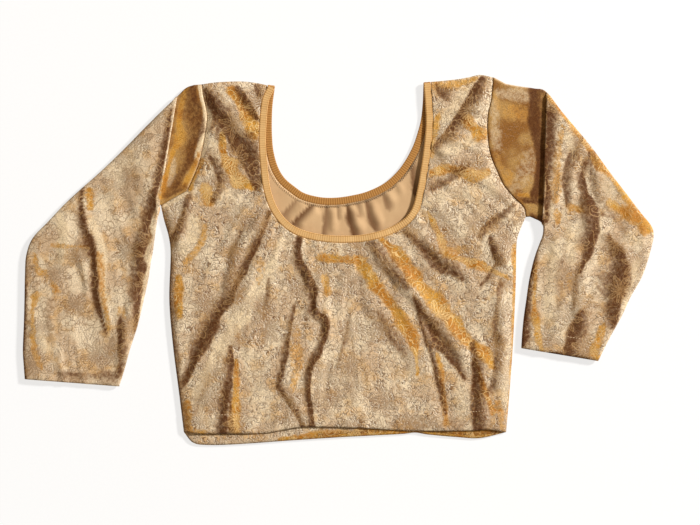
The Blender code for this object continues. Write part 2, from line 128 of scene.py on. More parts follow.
BACK_FOLDS = [
    ([(-22, 57), (-34, 46), (-44, 36)], 2, 5, 9),
    ([(-8, 56), (-7, 28)], 1.5, 4, 8),
    ([(2, 57), (2, 43)], 1, 3, 7),
    ([(13, 58), (15, 44), (24, 27)], 2, 5, 9),
    ([(23, 60), (25, 47)], 1, 3, 7),
    ([(34, 62), (37, 49), (43, 34)], 1.6, 4, 8),
    ([(50, 71), (56, 58)], 1.2, 4, 7),
    ([(62, 81), (65, 69)], 1, 3, 6),
    ([(-37, 62), (-46, 49), (-55, 43)], 1, 4, 8),
]
RIGHT_FOLDS = [
    ([(-265, 74), (-268, 55), (-267, 34), (-258, 23), (-255, -2), (-254, -32), (-246, -61),
      (-242, -84)], 2.6, 6, 12),
    ([(-290, 48), (-288, 25), (-294, -2)], 1.6, 6, 9),
    ([(-281, 29), (-273, -2), (-267, -32)], 1.2, 8, 12),
    ([(-202, 48), (-209, 21), (-212, -2), (-214, -32), (-225, -68), (-228, -100), (-236, -126)], 3, 10, 8),
    ([(-292, -63), (-296, -94), (-294, -126)], 1, 9, 14),
    ([(-267, -74), (-271, -97), (-267, -130)], 1.4, 8, 12),
]
LEFT_FOLDS = [
    ([(254, 132), (249, 109), (242, 92), (239, 57)], 2.6, 8, 12),
    ([(262, 116), (256, 94)], 1.8, 6, 10),
    ([(255, 84), (258, 55), (262, 29), (261, 7), (254, -10), (248, -47), (252, -69), (246, -92)], 3, 9, 12),
    ([(265, 101), (270, 78), (272, 55)], 1.8, 6, 9),
    ([(281, 25), (292, 8), (294, -8), (287, -38), (287, -65)], 3.8, 13, 12),
    ([(275, 43), (276, 15)], 1, 6, 8),
    ([(229, 32), (225, -2), (220, -42), (222, -84)], 1.4, 10, 14),
    ([(235, 172), (239, 155), (237, 134)], 1.6, 8, 12),
]

# How the pile lies, and where light and shade are painted on it. Each row: strength, then a line of x, y,
# half width.
# Painted shade: a steep or folded flank, a fold valley or an edge turned from the key light, painted brown.
# Brushed:
# the pile lies the other way and shows deep gold. Painted sheen: where the pile stands up, painted pale as
# its sheen.
FRONT_MARKS = {
    "foot": [
        # wearer's right: neck to side, hem
        (1.0, [(-162, -128, 3), (-146, -95, 7), (-132, -65, 7), (-112, -35, 5), (-96, -3, 4), (-80, 30, 3),
               (-72, 50, 2)]),
        (0.7, [(-120, -40, 1.5), (-112, -12, 3), (-109, 12, 3), (-100, 36, 2)]),
        (0.6, [(-72, -20, 2), (-75, -40, 3), (-77, -62, 2)]),
        (0.85, [(-63, -132, 2), (-58, -112, 3), (-52, -80, 2.5), (-46, -48, 1)]),
        (0.9, [(-63, -132, 2), (-50, -150, 3), (-36, -176, 2)]),
        (1.0, [(-28, -176, 3), (-31, -145, 3), (-30, -118, 3), (-19, -92, 3), (-13, -64, 3), (-25, -55, 4),
               (-28, -30, 5), (-41, 0, 4), (-40, 26, 2.5)]),
        (1.0, [(-123, -184, 5), (-119, -150, 5), (-113, -115, 3), (-112, -92, 2)]),
        (0.8, [(-112, -180, 2.5), (-113, -150, 2), (-112, -128, 1)]),
        (0.5, [(-150, -162, 2), (-143, -140, 3), (-135, -120, 2)]),
        (0.9, [(-157, 66, 2), (-166, 36, 3.5), (-175, 18, 3)]),
        (0.7, [(-179, 40, 2), (-176, 0, 2), (-175, -60, 2), (-168, -120, 2.5), (-163, -175, 2)]),
        # wearer's right shoulder
        (1.0, [(-138, 178, 4), (-128, 160, 9), (-114, 141, 12), (-100, 121, 12), (-88, 102, 9),
               (-82, 88, 4)]),
        (0.9, [(-86, 148, 3), (-95, 163, 4), (-106, 180, 2)]),
        (0.8, [(-84, 182, 3), (-81, 172, 3)]),
        (0.9, [(-102, 108, 2), (-91, 92, 5), (-83, 78, 4)]),
        (0.6, [(-133, 138, 2), (-124, 150, 3), (-126, 128, 3)]),
        (0.8, [(-132, 108, 3), (-124, 95, 4), (-122, 80, 4), (-130, 62, 3)]),
        # middle of the neck to the wearer's left hem
        (0.8, [(34, 18, 3), (48, 2, 6), (62, -14, 6), (72, -28, 4)]),
        (1.0, [(80, -40, 2), (94, -62, 6), (106, -84, 8), (120, -104, 6), (133, -124, 2)]),
        (0.85, [(72, 30, 4), (88, 14, 6), (104, 0, 8), (122, -12, 5), (130, -20, 2)]),
        (0.9, [(84, -56, 1), (92, -80, 2), (100, -108, 2.5), (110, -146, 3), (113, -160, 2)]),
        (0.95, [(140, -88, 2), (145, -110, 5), (148, -140, 8), (148, -178, 9)]),
        (0.7, [(172, -22, 3), (166, -60, 3), (168, -95, 4), (165, -125, 4), (158, -140, 2)]),
        (1.0, [(160, 22, 2), (166, 8, 4), (170, -2, 3)]),
        (0.8, [(166, -4, 1), (160, -15, 2), (150, -26, 1)]),
        (0.8, [(184, 58, 2), (170, 46, 4), (155, 34, 3), (148, 24, 2)]),
        (0.6, [(44, -55, 3), (58, -76, 6), (70, -98, 4)]),
        (0.6, [(12, -62, 1), (6, -90, 1.5), (0, -112, 1)]),
        (0.4, [(60, -172, 4), (100, -172, 6), (125, -172, 6)]),
        # wearer's left shoulder
        (1.0, [(152, 190, 4), (146, 176, 6), (138, 162, 6), (126, 146, 6), (112, 130, 4), (102, 118, 2)]),
        (0.8, [(104, 183, 2), (110, 175, 5), (115, 168, 2)]),
        (0.7, [(98, 76, 3), (114, 84, 5), (134, 100, 4)]),
    ],
    "brushed": [
        # below the neck and down to the wearer's left
        (0.8, [(-18, 4, 4), (-8, 2, 5), (10, 0, 4), (26, -2, 4)]),
        (1.0, [(22, 2, 4), (38, -22, 8), (52, -42, 6), (67, -62, 6), (76, -80, 6), (82, -100, 2),
               (83, -120, 1)]),
        (1.0, [(44, 24, 2), (60, 6, 6), (80, -18, 8), (100, -42, 8), (118, -64, 8), (136, -84, 6),
               (152, -99, 7),
               (164, -113, 2)]),
        (0.9, [(94, 50, 1), (105, 28, 3), (114, 6, 4)]),
        (0.6, [(112, 8, 5), (130, 12, 5)]),
        (0.9, [(118, 4, 2), (134, 0, 4), (150, -7, 6), (164, -12, 3), (180, -20, 1)]),
        (0.8, [(186, 14, 3), (186, -40, 2.5), (184, -100, 2.5), (180, -170, 2)]),
        (0.8, [(104, -98, 1), (108, -120, 4), (112, -150, 2), (113, -172, 3)]),
        (1.0, [(143, -105, 1.5), (152, -132, 2), (163, -160, 2.5)]),
        (0.6, [(168, -150, 3), (172, -176, 4)]),
        # wearer's right
        (0.9, [(-107, -105, 1), (-106, -140, 3), (-108, -160, 5), (-107, -181, 6)]),
        (0.9, [(-167, -18, 4), (-168, -40, 5), (-166, -58, 4)]),
        (0.6, [(-160, -2, 4), (-150, 8, 3), (-142, 22, 3), (-140, 36, 2)]),
        (0.7, [(-158, -150, 3), (-156, -178, 4), (-140, -181, 3)]),
        (0.8, [(-13, -18, 3), (-10, -34, 5)]),
        (0.5, [(-45, -75, 5), (-44, -110, 6), (-48, -135, 4)]),
        (0.4, [(-80, -2, 5), (-82, -20, 4)]),
        (0.85, [(-139, 74, 6), (-136, 62, 5)]),
        (1.0, [(-121, 132, 3), (-120, 114, 4), (-114, 98, 7), (-104, 85, 8), (-90, 76, 5)]),
        (1.0, [(-112, 178, 5), (-103, 166, 7), (-95, 152, 8), (-87, 135, 6)]),
        (0.9, [(-143, 105, 2.5), (-150, 90, 3), (-156, 76, 2.5)]),
        # wearer's left shoulder
        (0.9, [(134, 146, 6), (148, 132, 8)]),
        (0.85, [(98, 92, 4), (115, 96, 6), (140, 90, 6), (156, 92, 4)]),
        (0.7, [(100, 184, 4), (125, 186, 4), (144, 190, 3)]),
        (0.8, [(106, 150, 3), (100, 135, 4), (98, 110, 3)]),
    ],
    "bloom": [
        (0.9, [(-58, 20, 4), (-72, -10, 6), (-90, -40, 7), (-110, -72, 8), (-130, -105, 7), (-148, -140, 6)]),
        (1.0, [(-150, 42, 6), (-152, 22, 7)]),
        (1.0, [(-184, 55, 2), (-170, 64, 3), (-158, 71, 2.5)]),
        (0.9, [(-139, 178, 1.5), (-135, 152, 2), (-138, 128, 2), (-144, 104, 2)]),
        (1.0, [(-163, 14, 5), (-162, 6, 5)]),
        (0.5, [(-90, -100, 9), (-85, -160, 12)]),
        (0.6, [(-150, -150, 5), (-135, -170, 6)]),
        (0.5, [(-18, -100, 5), (-15, -150, 7)]),
        (0.4, [(0, -60, 14), (20, -140, 20)]),
        (0.4, [(60, -110, 12), (90, -130, 10)]),
        (0.6, [(128, -130, 6), (132, -165, 5)]),
        (0.7, [(177, -90, 4), (175, -150, 5)]),
        (0.6, [(-130, 122, 5), (-127, 106, 6)]),
        (0.6, [(-121, 172, 3), (-108, 150, 3), (-94, 134, 2)]),
        (0.5, [(-112, 66, 10), (-104, 44, 10)]),
        (0.7, [(146, 188, 4), (130, 168, 8), (108, 148, 6)]),
        (0.8, [(100, 110, 4), (130, 122, 6), (152, 132, 5)]),
        (0.6, [(95, 60, 6), (115, 68, 7), (140, 72, 8)]),
        (0.8, [(158, 84, 8), (164, 74, 7)]),
        (0.5, [(134, 30, 8), (150, 54, 9)]),
    ],
}
# the turned-up back hem shows its gold all along but for its left end, with painted shade along the front
# hem's edge above it
BACK_MARKS = {
    "brushed": [(0.9, [(-60, -188, 2), (-20, -186, 6), (60, -181, 6), (120, -184, 6), (176, -182, 5)])],
    "foot": [(0.6, [(-20, -183, 1), (60, -178, 1), (130, -182, 1), (176, -180, 2)])],
}
# painted shade in the hollows between the gathers inside the back neck
GATHER_MARKS = {
    "foot": [
        (0.9, [(-26, 57, 1), (-38, 46, 3), (-50, 34, 3)]),
        (0.7, [(-11, 57, 1), (-12, 40, 2.5), (-14, 26, 2)]),
        (0.5, [(0, 57, 1), (0, 44, 1.5)]),
        (0.9, [(10, 57, 1), (12, 44, 3), (18, 26, 3)]),
        (0.5, [(21, 59, 1), (23, 46, 1.5)]),
        (0.8, [(31, 62, 1), (34, 49, 3), (40, 32, 3)]),
        (0.6, [(48, 70, 1), (54, 56, 2.5)]),
        (0.8, [(72, 110, 2), (78, 95, 4), (82, 70, 4)]),
        (0.6, [(-44, 62, 1), (-54, 50, 2.5), (-62, 42, 2)]),
    ],
}
RIGHT_MARKS = {
    "foot": [
        (1.0, [(-214, -74, 2), (-211, -50, 4), (-210, -25, 5), (-209, 0, 7), (-203, 25, 6), (-198, 50, 5),
               (-193, 72, 4),
               (-186, 98, 3), (-180, 128, 2.5), (-175, 156, 2)]),
        (0.9, [(-227, -62, 2), (-226, -80, 4), (-226, -100, 5), (-230, -120, 4)]),
        (1.0, [(-243, -76, 1), (-248, -60, 2), (-253, -40, 3), (-256, -15, 4), (-257, 5, 4), (-262, 22, 5),
               (-267, 40, 3), (-270, 60, 2), (-268, 75, 1)]),
        (0.5, [(-296, 10, 1.5), (-294, -2, 2)]),
        (0.35, [(-303, -40, 3), (-302, -85, 3)]),
        (0.3, [(-270, -40, 3), (-266, -62, 5)]),
        (0.6, [(-236, -124, 6), (-248, -123, 5), (-260, -122, 2), (-272, -121, 3), (-284, -120, 4),
               (-292, -119, 2)]),
        (0.7, [(-328, -10, 2), (-328, -60, 2), (-330, -100, 2.5), (-327, -122, 2.5)]),
        # cap
        (0.75, [(-172, 76, 4), (-160, 98, 4), (-154, 118, 6), (-150, 136, 8), (-152, 160, 9),
                (-155, 182, 8)]),
        (0.6, [(-182, 68, 2), (-170, 72, 3), (-160, 76, 3)]),
    ],
    "brushed": [
        (0.9, [(-260, 72, 3), (-259, 55, 4)]),
        (0.6, [(-249, 5, 4), (-248, -10, 4), (-247, -30, 4), (-244, -50, 3.5), (-240, -72, 2.5)]),
        (0.6, [(-318, 5, 3), (-315, -12, 4), (-305, -15, 3)]),
        (0.6, [(-300, -24, 4), (-296, -32, 4)]),
        (0.65, [(-318, -38, 4), (-320, -60, 1.5), (-320, -80, 3), (-316, -100, 4), (-311, -112, 2)]),
        (0.5, [(-227, -53, 4), (-223, -58, 4)]),
        (0.6, [(-300, 16, 1.5), (-262, 13, 1.5)]),
        # cap
        (0.75, [(-158, 181, 2), (-164, 165, 3), (-166, 145, 4), (-164, 130, 6), (-174, 112, 2), (-180, 88, 2),
                (-184, 68, 4)]),
        (0.7, [(-146, 112, 1.5), (-153, 95, 2), (-162, 75, 2)]),
    ],
    "bloom": [
        (0.95, [(-258, 42, 3), (-252, 28, 5), (-248, 10, 5), (-247, -20, 4), (-244, -45, 3)]),
        (0.9, [(-290, 45, 4), (-286, 25, 6), (-292, 0, 7)]),
        (0.85, [(-183, 120, 1.5), (-190, 80, 2), (-196, 50, 3), (-199, 20, 3), (-203, -20, 4),
                (-209, -55, 4)]),
        (0.6, [(-312, -80, 8), (-308, -90, 8)]),
        (0.5, [(-225, 100, 14), (-240, 60, 12)]),
        (0.6, [(-174, 105, 4), (-172, 92, 5), (-178, 80, 3)]),
        (1.0, [(-145, 182, 1), (-140, 155, 1.5), (-143, 130, 2.5), (-148, 108, 2.5)]),
    ],
}
LEFT_MARKS = {
    "foot": [
        (1.0, [(224, 156, 5), (223, 135, 6), (221, 112, 4), (220, 80, 2), (219, 45, 2)]),
        (0.75, [(246, 114, 2), (241, 95, 4), (240, 75, 5), (241, 56, 2)]),
        (0.8, [(257, 130, 1), (251, 114, 3), (246, 100, 1)]),
        (0.8, [(264, 112, 2), (259, 100, 3), (256, 88, 2)]),
        (1.0, [(253, -14, 1), (257, -2, 3), (263, 12, 6), (266, 30, 8), (264, 50, 8), (258, 70, 5),
               (255, 90, 2)]),
        (0.7, [(250, -10, 1), (249, -35, 2.5), (247, -50, 2)]),
        (0.55, [(272, 112, 4), (270, 95, 7), (270, 82, 8), (276, 66, 7)]),
        (0.35, [(280, 60, 3), (300, 30, 5), (304, 10, 4)]),
        (0.35, [(238, 10, 3), (233, -20, 5), (232, -50, 3)]),
        (1.0, [(287, -66, 4), (290, -50, 8), (293, -30, 11), (296, -10, 11), (291, 8, 7), (283, 24, 3)]),
        (0.95, [(256, -55, 4), (252, -70, 7), (248, -84, 8), (246, -98, 8)]),
        (1.0, [(222, -97, 0.5), (240, -100, 1.5), (256, -102.5, 2), (263, -103, 1)]),
        (1.0, [(205, 14, 3), (201, -20, 4), (198, -50, 4), (196, -88, 4)]),
        (0.6, [(262, 52, 1.5), (290, 45, 1.5)]),
        # cap
        (1.0, [(210, 178, 7), (208, 160, 9), (210, 140, 7), (212, 110, 5), (211, 85, 6), (209, 68, 7)]),
        (1.0, [(196, 62, 2), (214, 61, 3)]),
        (1.0, [(204, 45, 3), (216, 43, 3)]),
    ],
    "brushed": [
        (0.8, [(220, 172, 2), (252, 132, 2), (282, 92, 2), (312, 52, 4), (328, 32, 5)]),
        (0.9, [(268, 108, 3), (275, 98, 4)]),
        (0.9, [(285, 60, 5), (300, 50, 6), (315, 42, 8), (322, 32, 7)]),
        (0.5, [(236, 142, 2), (231, 120, 3), (229, 95, 5), (230, 75, 5), (228, 62, 4)]),
        (0.7, [(243, 55, 3), (255, 52, 3)]),
        (0.6, [(231, 48, 4), (231, 40, 3)]),
        (0.5, [(243, -15, 3), (244, -28, 4)]),
        (0.8, [(206, -5, 2), (206, -45, 2.5), (208, -65, 4), (210, -85, 4), (214, -95, 2)]),
        (0.8, [(277, -70, 4), (272, -85, 4), (268, -96, 4), (272, -104, 3)]),
        # cap
        (0.45, [(182, 156, 8), (196, 150, 8), (205, 140, 5)]),
        (0.5, [(178, 88, 5), (178, 82, 4)]),
        (0.8, [(190, 68, 2), (214, 66, 1.5)]),
        (0.4, [(164, 175, 2), (168, 160, 3)]),
        (0.35, [(166, 110, 2.5), (174, 90, 3)]),
    ],
    "bloom": [
        (0.9, [(243, 128, 5), (245, 115, 5)]),
        (0.8, [(283, 88, 6), (285, 75, 6), (290, 66, 5)]),
        (0.7, [(222, 60, 4), (225, 45, 5)]),
        (0.7, [(225, 20, 8), (225, -10, 8), (222, -40, 9), (222, -60, 8)]),
        (0.7, [(245, 30, 7), (243, 0, 6)]),
        (0.9, [(273, 45, 3), (275, 30, 4)]),
        (0.9, [(314, -2, 4), (306, -25, 4), (300, -45, 4)]),
        (0.6, [(305, 25, 6), (315, 18, 5)]),
        # cap
        (0.55, [(168, 174, 5), (188, 173, 7), (203, 172, 5)]),
        (0.5, [(164, 165, 4), (164, 140, 5), (166, 118, 3)]),
        (0.4, [(182, 75, 5), (194, 88, 9), (198, 108, 9)]),
    ],
}

# sleeves, a row per station from armhole to cuff: outer x, y, inner x, y, top of the cloth
RIGHT_STATIONS = [
    ((-151.0, 183.8), (-187.3, 56.4), 3.5),
    ((-159.5, 180.6), (-187.7, 55.2), 3.5),
    ((-168.0, 172.5), (-187.9, 53.6), 3.5),
    ((-186.9, 154.4), (-188.2, 49.6), 7.2),
    ((-203.7, 137.6), (-188.8, 45.8), 7.1),
    ((-220.5, 120.4), (-189.5, 41.6), 6.4),
    ((-237.3, 103.9), (-190.2, 36.8), 5.8),
    ((-254.1, 88.2), (-191.0, 31.4), 5.4),
    ((-270.9, 73.5), (-191.9, 25.2), 5.2),
    ((-287.7, 57.8), (-192.9, 18.6), 5.2),
    ((-304.5, 40.0), (-193.5, 13.1), 5.2),
    ((-320.3, 23.1), (-194.7, 5.3), 5.2),
    ((-327.1, 5.3), (-196.4, -3.2), 5.0),
    ((-328.5, -15.8), (-198.5, -17.9), 5.0),
    ((-329.0, -42.0), (-203.7, -42.0), 5.0),
    ((-329.7, -68.3), (-210.0, -68.3), 4.8),
    ((-330.7, -94.5), (-218.4, -94.5), 4.6),
    ((-329.7, -112.0), (-224.0, -115.0), 4.5),
    ((-328.7, -125.0), (-229.5, -132.6), 4.4),
]
LEFT_STATIONS = [
    ((176.4, 184.8), (201.6, 45.4), 3.5),
    ((191.1, 182.2), (206.0, 43.4), 3.5),
    ((205.8, 180.1), (210.4, 41.4), 3.5),
    ((218.2, 176.9), (213.6, 39.0), 3.5),
    ((234.2, 156.5), (215.0, 35.6), 7.2),
    ((251.0, 136.5), (215.2, 31.6), 7.1),
    ((266.7, 117.6), (214.8, 27.4), 6.6),
    ((283.5, 94.5), (213.7, 23.2), 6.2),
    ((300.3, 72.5), (212.1, 19.4), 5.8),
    ((317.1, 50.4), (210.0, 13.7), 5.6),
    ((330.8, 31.0), (207.4, 6.8), 5.6),
    ((327.6, 8.4), (204.0, -5.0), 5.6),
    ((319.2, -17.0), (200.3, -22.0), 5.4),
    ((307.0, -38.9), (197.4, -42.0), 5.4),
    ((297.2, -60.0), (194.8, -60.0), 5.2),
    ((285.0, -82.0), (193.2, -76.5), 5.0),
    ((273.0, -106.0), (192.2, -92.5), 4.8),
]
# knife pleat seen from its end: distance under the folded-over cloth, height of the cloth's outer face
PLEAT = [(0.0, 3.5), (9.0, 3.5), (13.6, 3.5), (14.7, 3.7), (14.7, 4.1), (13.6, 4.3), (9.0, 4.3), (1.6, 4.3),
         (0.3, 4.8), (0.0, 5.7), (0.3, 6.6), (1.4, 7.15)]

# where a sleeve rises from its armhole seam: distance from the seam, top of the cloth
SEAM_RISE = [(0.05, 2.6), (1.2, 3.3)]

# cells of the panels: columns beside, below and beside the neck; rows below, along and above the underarm
FRONT_COLUMNS, FRONT_ROWS, FRONT_CORNERS = (48, 84, 48), (110, 14, 62), (0.30, 0.69)
BACK_COLUMNS, BACK_ROWS, BACK_CORNERS = (34, 66, 34), (70, 9, 42), (0.28, 0.74)
FRONT_HEM_AT, BACK_HEM_AT = (0.3, 0.72), (0.32, 0.70)   # where the columns below the neck meet the hem
NECK_STEPS = 2400
OVER_POINTS, UNDER_POINTS = 62, 26   # points across a sleeve's upper and lower cloth
STATION_STEPS = 6                    # rings between two rows of a sleeve's table
PLEAT_RINGS = 44
BINDING_STEPS = 420                  # rings of the binding along each neck line
FAN = (0.0, 170.0, 230.0)            # point from which the soft creases fan out, and their radius
HEM = 20.0                           # depth of the turned hems
HEM_WALL = 0.4                       # cloth of the turned-up hem that peeps out
INSIDE = WALL + 0.35                 # height of what lies on the back panel's inside
OVERLOCK_AT = 5.4                    # from the binding's middle line
SUN_SIDE = Vector((0.88, 0.47, 0))   # the side the key light comes from: slopes facing it are painted pale as highlight, slopes facing away painted brown as shade
STITCH, STITCH_LONG = 3.0, 2.3       # pitch of the hem stitches, and how long each one lies on the cloth
TABLE_Z = -0.0015                    # metres
BLEND = {"data_type": "RGBA", "out": 2}    # settings of a Mix node for colours; their sockets are 6 and 7
FLAT = {"noise_dimensions": "2D"}          # settings of a pattern that looks the same at any height
SMOOTH = {"interpolation_type": "SMOOTHSTEP"}
TIMES = {"operation": "MULTIPLY"}


def smooth(points, steps):
    """Catmull-Rom line through a table's rows, with equal steps between them."""
    p = np.array(points, float)
    p = np.vstack([2 * p[0] - p[1], p, 2 * p[-1] - p[-2]])
    t = np.arange(steps)[:, None] / steps
    parts = []
    for a, b, c, d in zip(p, p[1:], p[2:], p[3:]):
        parts.append(0.5 * (2 * b + (c - a) * t + (2 * a - 5 * b + 4 * c - d) * t ** 2
                            + (3 * b - a - 3 * c + d) * t ** 3))
    return np.vstack(parts + [p[-2:-1]])


def marks_of(line):
    """Fractions of a line's length at its points, and the length."""
    run = np.r_[0, np.cumsum(np.linalg.norm(np.diff(line, axis=0), axis=1))]
    return run / run[-1], run[-1]


def curve(points, at):
    """The smooth line taken at fractions of its length."""
    dense = smooth(points, 12)
    marks, _ = marks_of(dense)
    return np.column_stack([np.interp(at, marks, dense[:, k]) for k in range(dense.shape[1])])


def even(count):
    return np.linspace(0, 1, count + 1)


def shifted(line, amount):
    """Plan line moved to its right-hand side."""
    step = np.gradient(line, axis=0)
    step /= np.linalg.norm(step, axis=1)[:, None]
    return line + amount * np.column_stack([step[:, 1], -step[:, 0]])


def ease(t):
    t = np.clip(t, 0, 1)
    return t * t * (3 - 2 * t)


def nearest(spots, line):
    """Signed distance to a plan line (positive on its left-hand side) and the fraction of its length."""
    a, ab = line[:-1], np.diff(line, axis=0)
    length = np.linalg.norm(ab, axis=1)
    gap = spots[:, None, :] - a
    t = np.clip((gap * ab).sum(2) / length ** 2, 0, 1)
    off = gap - t[..., None] * ab
    dist = np.linalg.norm(off, axis=2)
    best = dist.argmin(1)
    row = np.arange(len(spots))
    side = ab[best, 0] * gap[row, best, 1] - ab[best, 1] * gap[row, best, 0]
    run = np.r_[0, np.cumsum(length)]
    return np.where(side < 0, -1, 1) * dist[row, best], (run[best] + t[row, best] * length[best]) / run[-1]


def fold_height(spots, table, share=0.52):
    """Height of the folds: each row rises over its steep flank and falls away over its gentle one."""
    height = np.zeros(len(spots))
    for line, crest, steep, gentle in table:
        d, s = nearest(spots, curve(line, even(24)))
        taper = ease(6 * s) * ease(6 * (1 - s))
        d = d / (0.45 + 0.55 * taper)
        rise = np.sin(np.clip(d / steep + 0.5, 0, 1) * math.pi / 2)
        fall = 1 - ease((d - steep / 2) / gentle)
        height += share * crest * taper * rise * fall
    return height


def waver(u, v, seed):
    """Smooth noise between -1 and 1, one wave to a unit."""
    dice = np.random.default_rng(seed).uniform(-1, 1, (64, 64))
    i, j = np.floor(u).astype(int), np.floor(v).astype(int)
    a, b = ease(u - i), ease(v - j)
    low = dice[i % 64, j % 64] * (1 - a) + dice[(i + 1) % 64, j % 64] * a
    high = dice[i % 64, (j + 1) % 64] * (1 - a) + dice[(i + 1) % 64, (j + 1) % 64] * a
    return low * (1 - b) + high * b


def mark_at(spots, rows, lean):
    """How strongly a row marks the cloth at each spot, from 0 to 1: brushed pile, painted shade or painted
    sheen.

    A leaning mark, a fold's painted shade, ends sharply in the valley on one side of its line and fades out
    up the flank on the other.
    """
    amount = np.zeros(len(spots))
    for seed, (strength, line) in enumerate(rows):
        dense = curve(line, even(24))
        d, s = nearest(spots, dense[:, :2])
        _, length = marks_of(dense[:, :2])
        wide = (np.interp(s, even(24), dense[:, 2]) + 1) * (1 + 0.3 * waver(s * length / 11, 0 * s, seed))
        t = d / wide + 0.25 * waver(s * length / 17, 0 * s, seed + 50)
        spread = np.minimum(ease((t + 1.2) / 0.6), ease((2.4 - t) / 2.8)) if lean else ease(1.4 - abs(t))
        amount = np.maximum(amount, strength * spread)
    return amount


def rumple(across, along, width, length, height, seed):
    """Soft creases of cloth that was never ironed, each narrower than it is long."""
    u, v = across / width, along / length
    u = u + 0.5 * waver(u * 0.45, v * 0.9, seed + 1)
    crease = 1 - 2 * abs(waver(u, v, seed))
    return height * (0.8 * waver(u * 0.55, v * 0.7, seed + 2) + 0.55 * crease
                     + 0.3 * (1 - 2 * abs(waver(u * 1.9, v * 1.7, seed + 3))))


def patch(bottom, right, top, left, s, t):
    """Grid of plan points between four edge lines (Coons patch)."""
    s, t = np.asarray(s)[None, :, None], np.asarray(t)[:, None, None]
    sides = (1 - s) * left[:, None] + s * right[:, None] + (1 - t) * bottom[None] + t * top[None]
    corners = ((1 - s) * (1 - t) * bottom[0] + s * (1 - t) * bottom[-1]
               + (1 - s) * t * top[0] + s * t * top[-1])
    return sides - corners


def neck_marks(mid_cols, high, corners):
    """Places along a neck line shared by a panel's edge and the binding: limb, arc, limb."""
    a, b = corners
    t = even(high)
    marks = np.r_[a * (1 - t[::-1]), (a + (b - a) * even(mid_cols))[1:-1], b + (1 - b) * t]
    return np.round(marks * NECK_STEPS).astype(int)


def body_grid(neck, hem, columns, rows, corners, hem_at):
    """Three plan grids: the body below the neck and the two shoulders beside it."""
    left_cols, mid_cols, right_cols = columns
    low, arm, high = rows
    edge = shifted(curve(neck, even(NECK_STEPS)), BINDING_WIDTH / 2)[neck_marks(mid_cols, high, corners)]
    limb_a, arc, limb_b = edge[high::-1].copy(), edge[high:-high], edge[-high - 1:].copy()
    limb_a[-1], limb_b[-1] = SHOULDER_RIGHT[-1], SHOULDER_LEFT[0]
    at_l, at_c, at_r = even(left_cols), even(mid_cols), even(right_cols)
    line_l = np.linspace(UNDERARM_RIGHT[-1], arc[0], 101)
    line_r = np.linspace(arc[-1], UNDERARM_LEFT[-1], 101)
    top = np.vstack([curve(line_l, at_l), arc[1:], curve(line_r, at_r)[1:]])
    a, b = hem_at
    s = np.r_[a * at_l, (a + (b - a) * at_c)[1:], (b + (1 - b) * at_r)[1:]]
    side_l = np.vstack([curve(SIDE_RIGHT, even(low)), curve(UNDERARM_RIGHT, even(arm))[1:]])
    side_r = np.vstack([curve(SIDE_LEFT, even(low)), curve(UNDERARM_LEFT, even(arm))[1:]])
    body = patch(curve(hem, s), side_r, top, side_l, s, even(low + arm))
    t = even(high)
    shoulder_a = patch(top[:left_cols + 1], limb_a, curve(SHOULDER_RIGHT, at_l), curve(ARMHOLE_RIGHT, t),
                       at_l, t)
    shoulder_b = patch(top[-right_cols - 1:], curve(ARMHOLE_LEFT, t), curve(SHOULDER_LEFT, at_r), limb_b,
                       at_r, t)
    return [body, shoulder_a, shoulder_b]


def front_height(spots):
    """Top of the front panel: rolled down to its seams, raised along the folds, nipped in at the hem."""
    rolled = [curve(line, even(60)) for line in (SIDE_RIGHT, SIDE_LEFT, UNDERARM_RIGHT, UNDERARM_LEFT,
                                                  ARMHOLE_RIGHT, ARMHOLE_LEFT, SHOULDER_RIGHT, SHOULDER_LEFT)]
    edge = np.min([abs(nearest(spots, line)[0]) for line in rolled], axis=0)
    height = FRONT_EDGE - 0.2 + (FRONT_BODY - FRONT_EDGE + 0.2) * ease(edge / ROLL) ** 0.6
    x, y = spots[:, 0] - FAN[0], spots[:, 1] - FAN[1]
    soft = rumple(np.arctan2(x, -y) * FAN[2], np.hypot(x, y), width=16, length=50, height=1.2, seed=5)
    height += (fold_height(spots, FRONT_FOLDS) + soft) * ease(edge / 12)
    from_hem = abs(nearest(spots, curve(HEM_FRONT, even(60)))[0])
    stitched = 0.5 * np.exp(-((from_hem - HEM) / 1.3) ** 2)
    doubled = 0.35 * (from_hem < HEM) * ease(from_hem / 2)
    return height - stitched + doubled


def back_height(spots):
    """Underside of the back panel: flat on the table but for the gathers under its binding."""
    off = abs(nearest(spots, curve(NECK_BACK, even(60)))[0])
    return fold_height(spots, BACK_FOLDS, 1.1) * ease((off - BINDING_WIDTH / 2) / 3)


def grid_mesh(grids, height):
    """Vertices and quads of plan grids lifted to a height."""
    verts, faces = [], []
    for grid in grids:
        rows, cols = grid.shape[:2]
        start = len(verts)
        flat = grid.reshape(-1, 2)
        verts += [(x, y, z) for (x, y), z in zip(flat, height(flat))]
        faces += [(start + j * cols + i, start + j * cols + i + 1, start + (j + 1) * cols + i + 1,
                   start + (j + 1) * cols + i) for j in range(rows - 1) for i in range(cols - 1)]
    return verts, faces


def section(upper, lower, top, at_over, at_under):
    """Closed ring round a flattened tube: over the upper cloth to the inner edge and back underneath."""
    rounding, rising = np.array([0, 0.05, 0.16, 0.36, 0.65]) * top, np.array([0.5, 0.68, 0.84, 0.95, 1.0])
    rings = []
    for line, at in ((upper, at_over), (lower, at_under)):
        marks, width = marks_of(line)
        near = rounding / width
        across = np.r_[near, near[-1] + (1 - 2 * near[-1]) * at, 1 - near[::-1]]
        plan = np.column_stack([np.interp(across, marks, line[:, k]) for k in range(2)])
        rings.append((plan, np.minimum(across, 1 - across) * width))
    (over, inside), (under, _) = rings
    plan = np.vstack([over, under[-2:0:-1]])
    rise = np.r_[rising, np.ones(len(at_over)), rising[::-1], 1 - rising[1:], np.zeros(len(at_under)),
                 1 - rising[:0:-1]]
    return plan, rise * top, np.r_[inside, np.zeros(len(plan) - len(inside))]


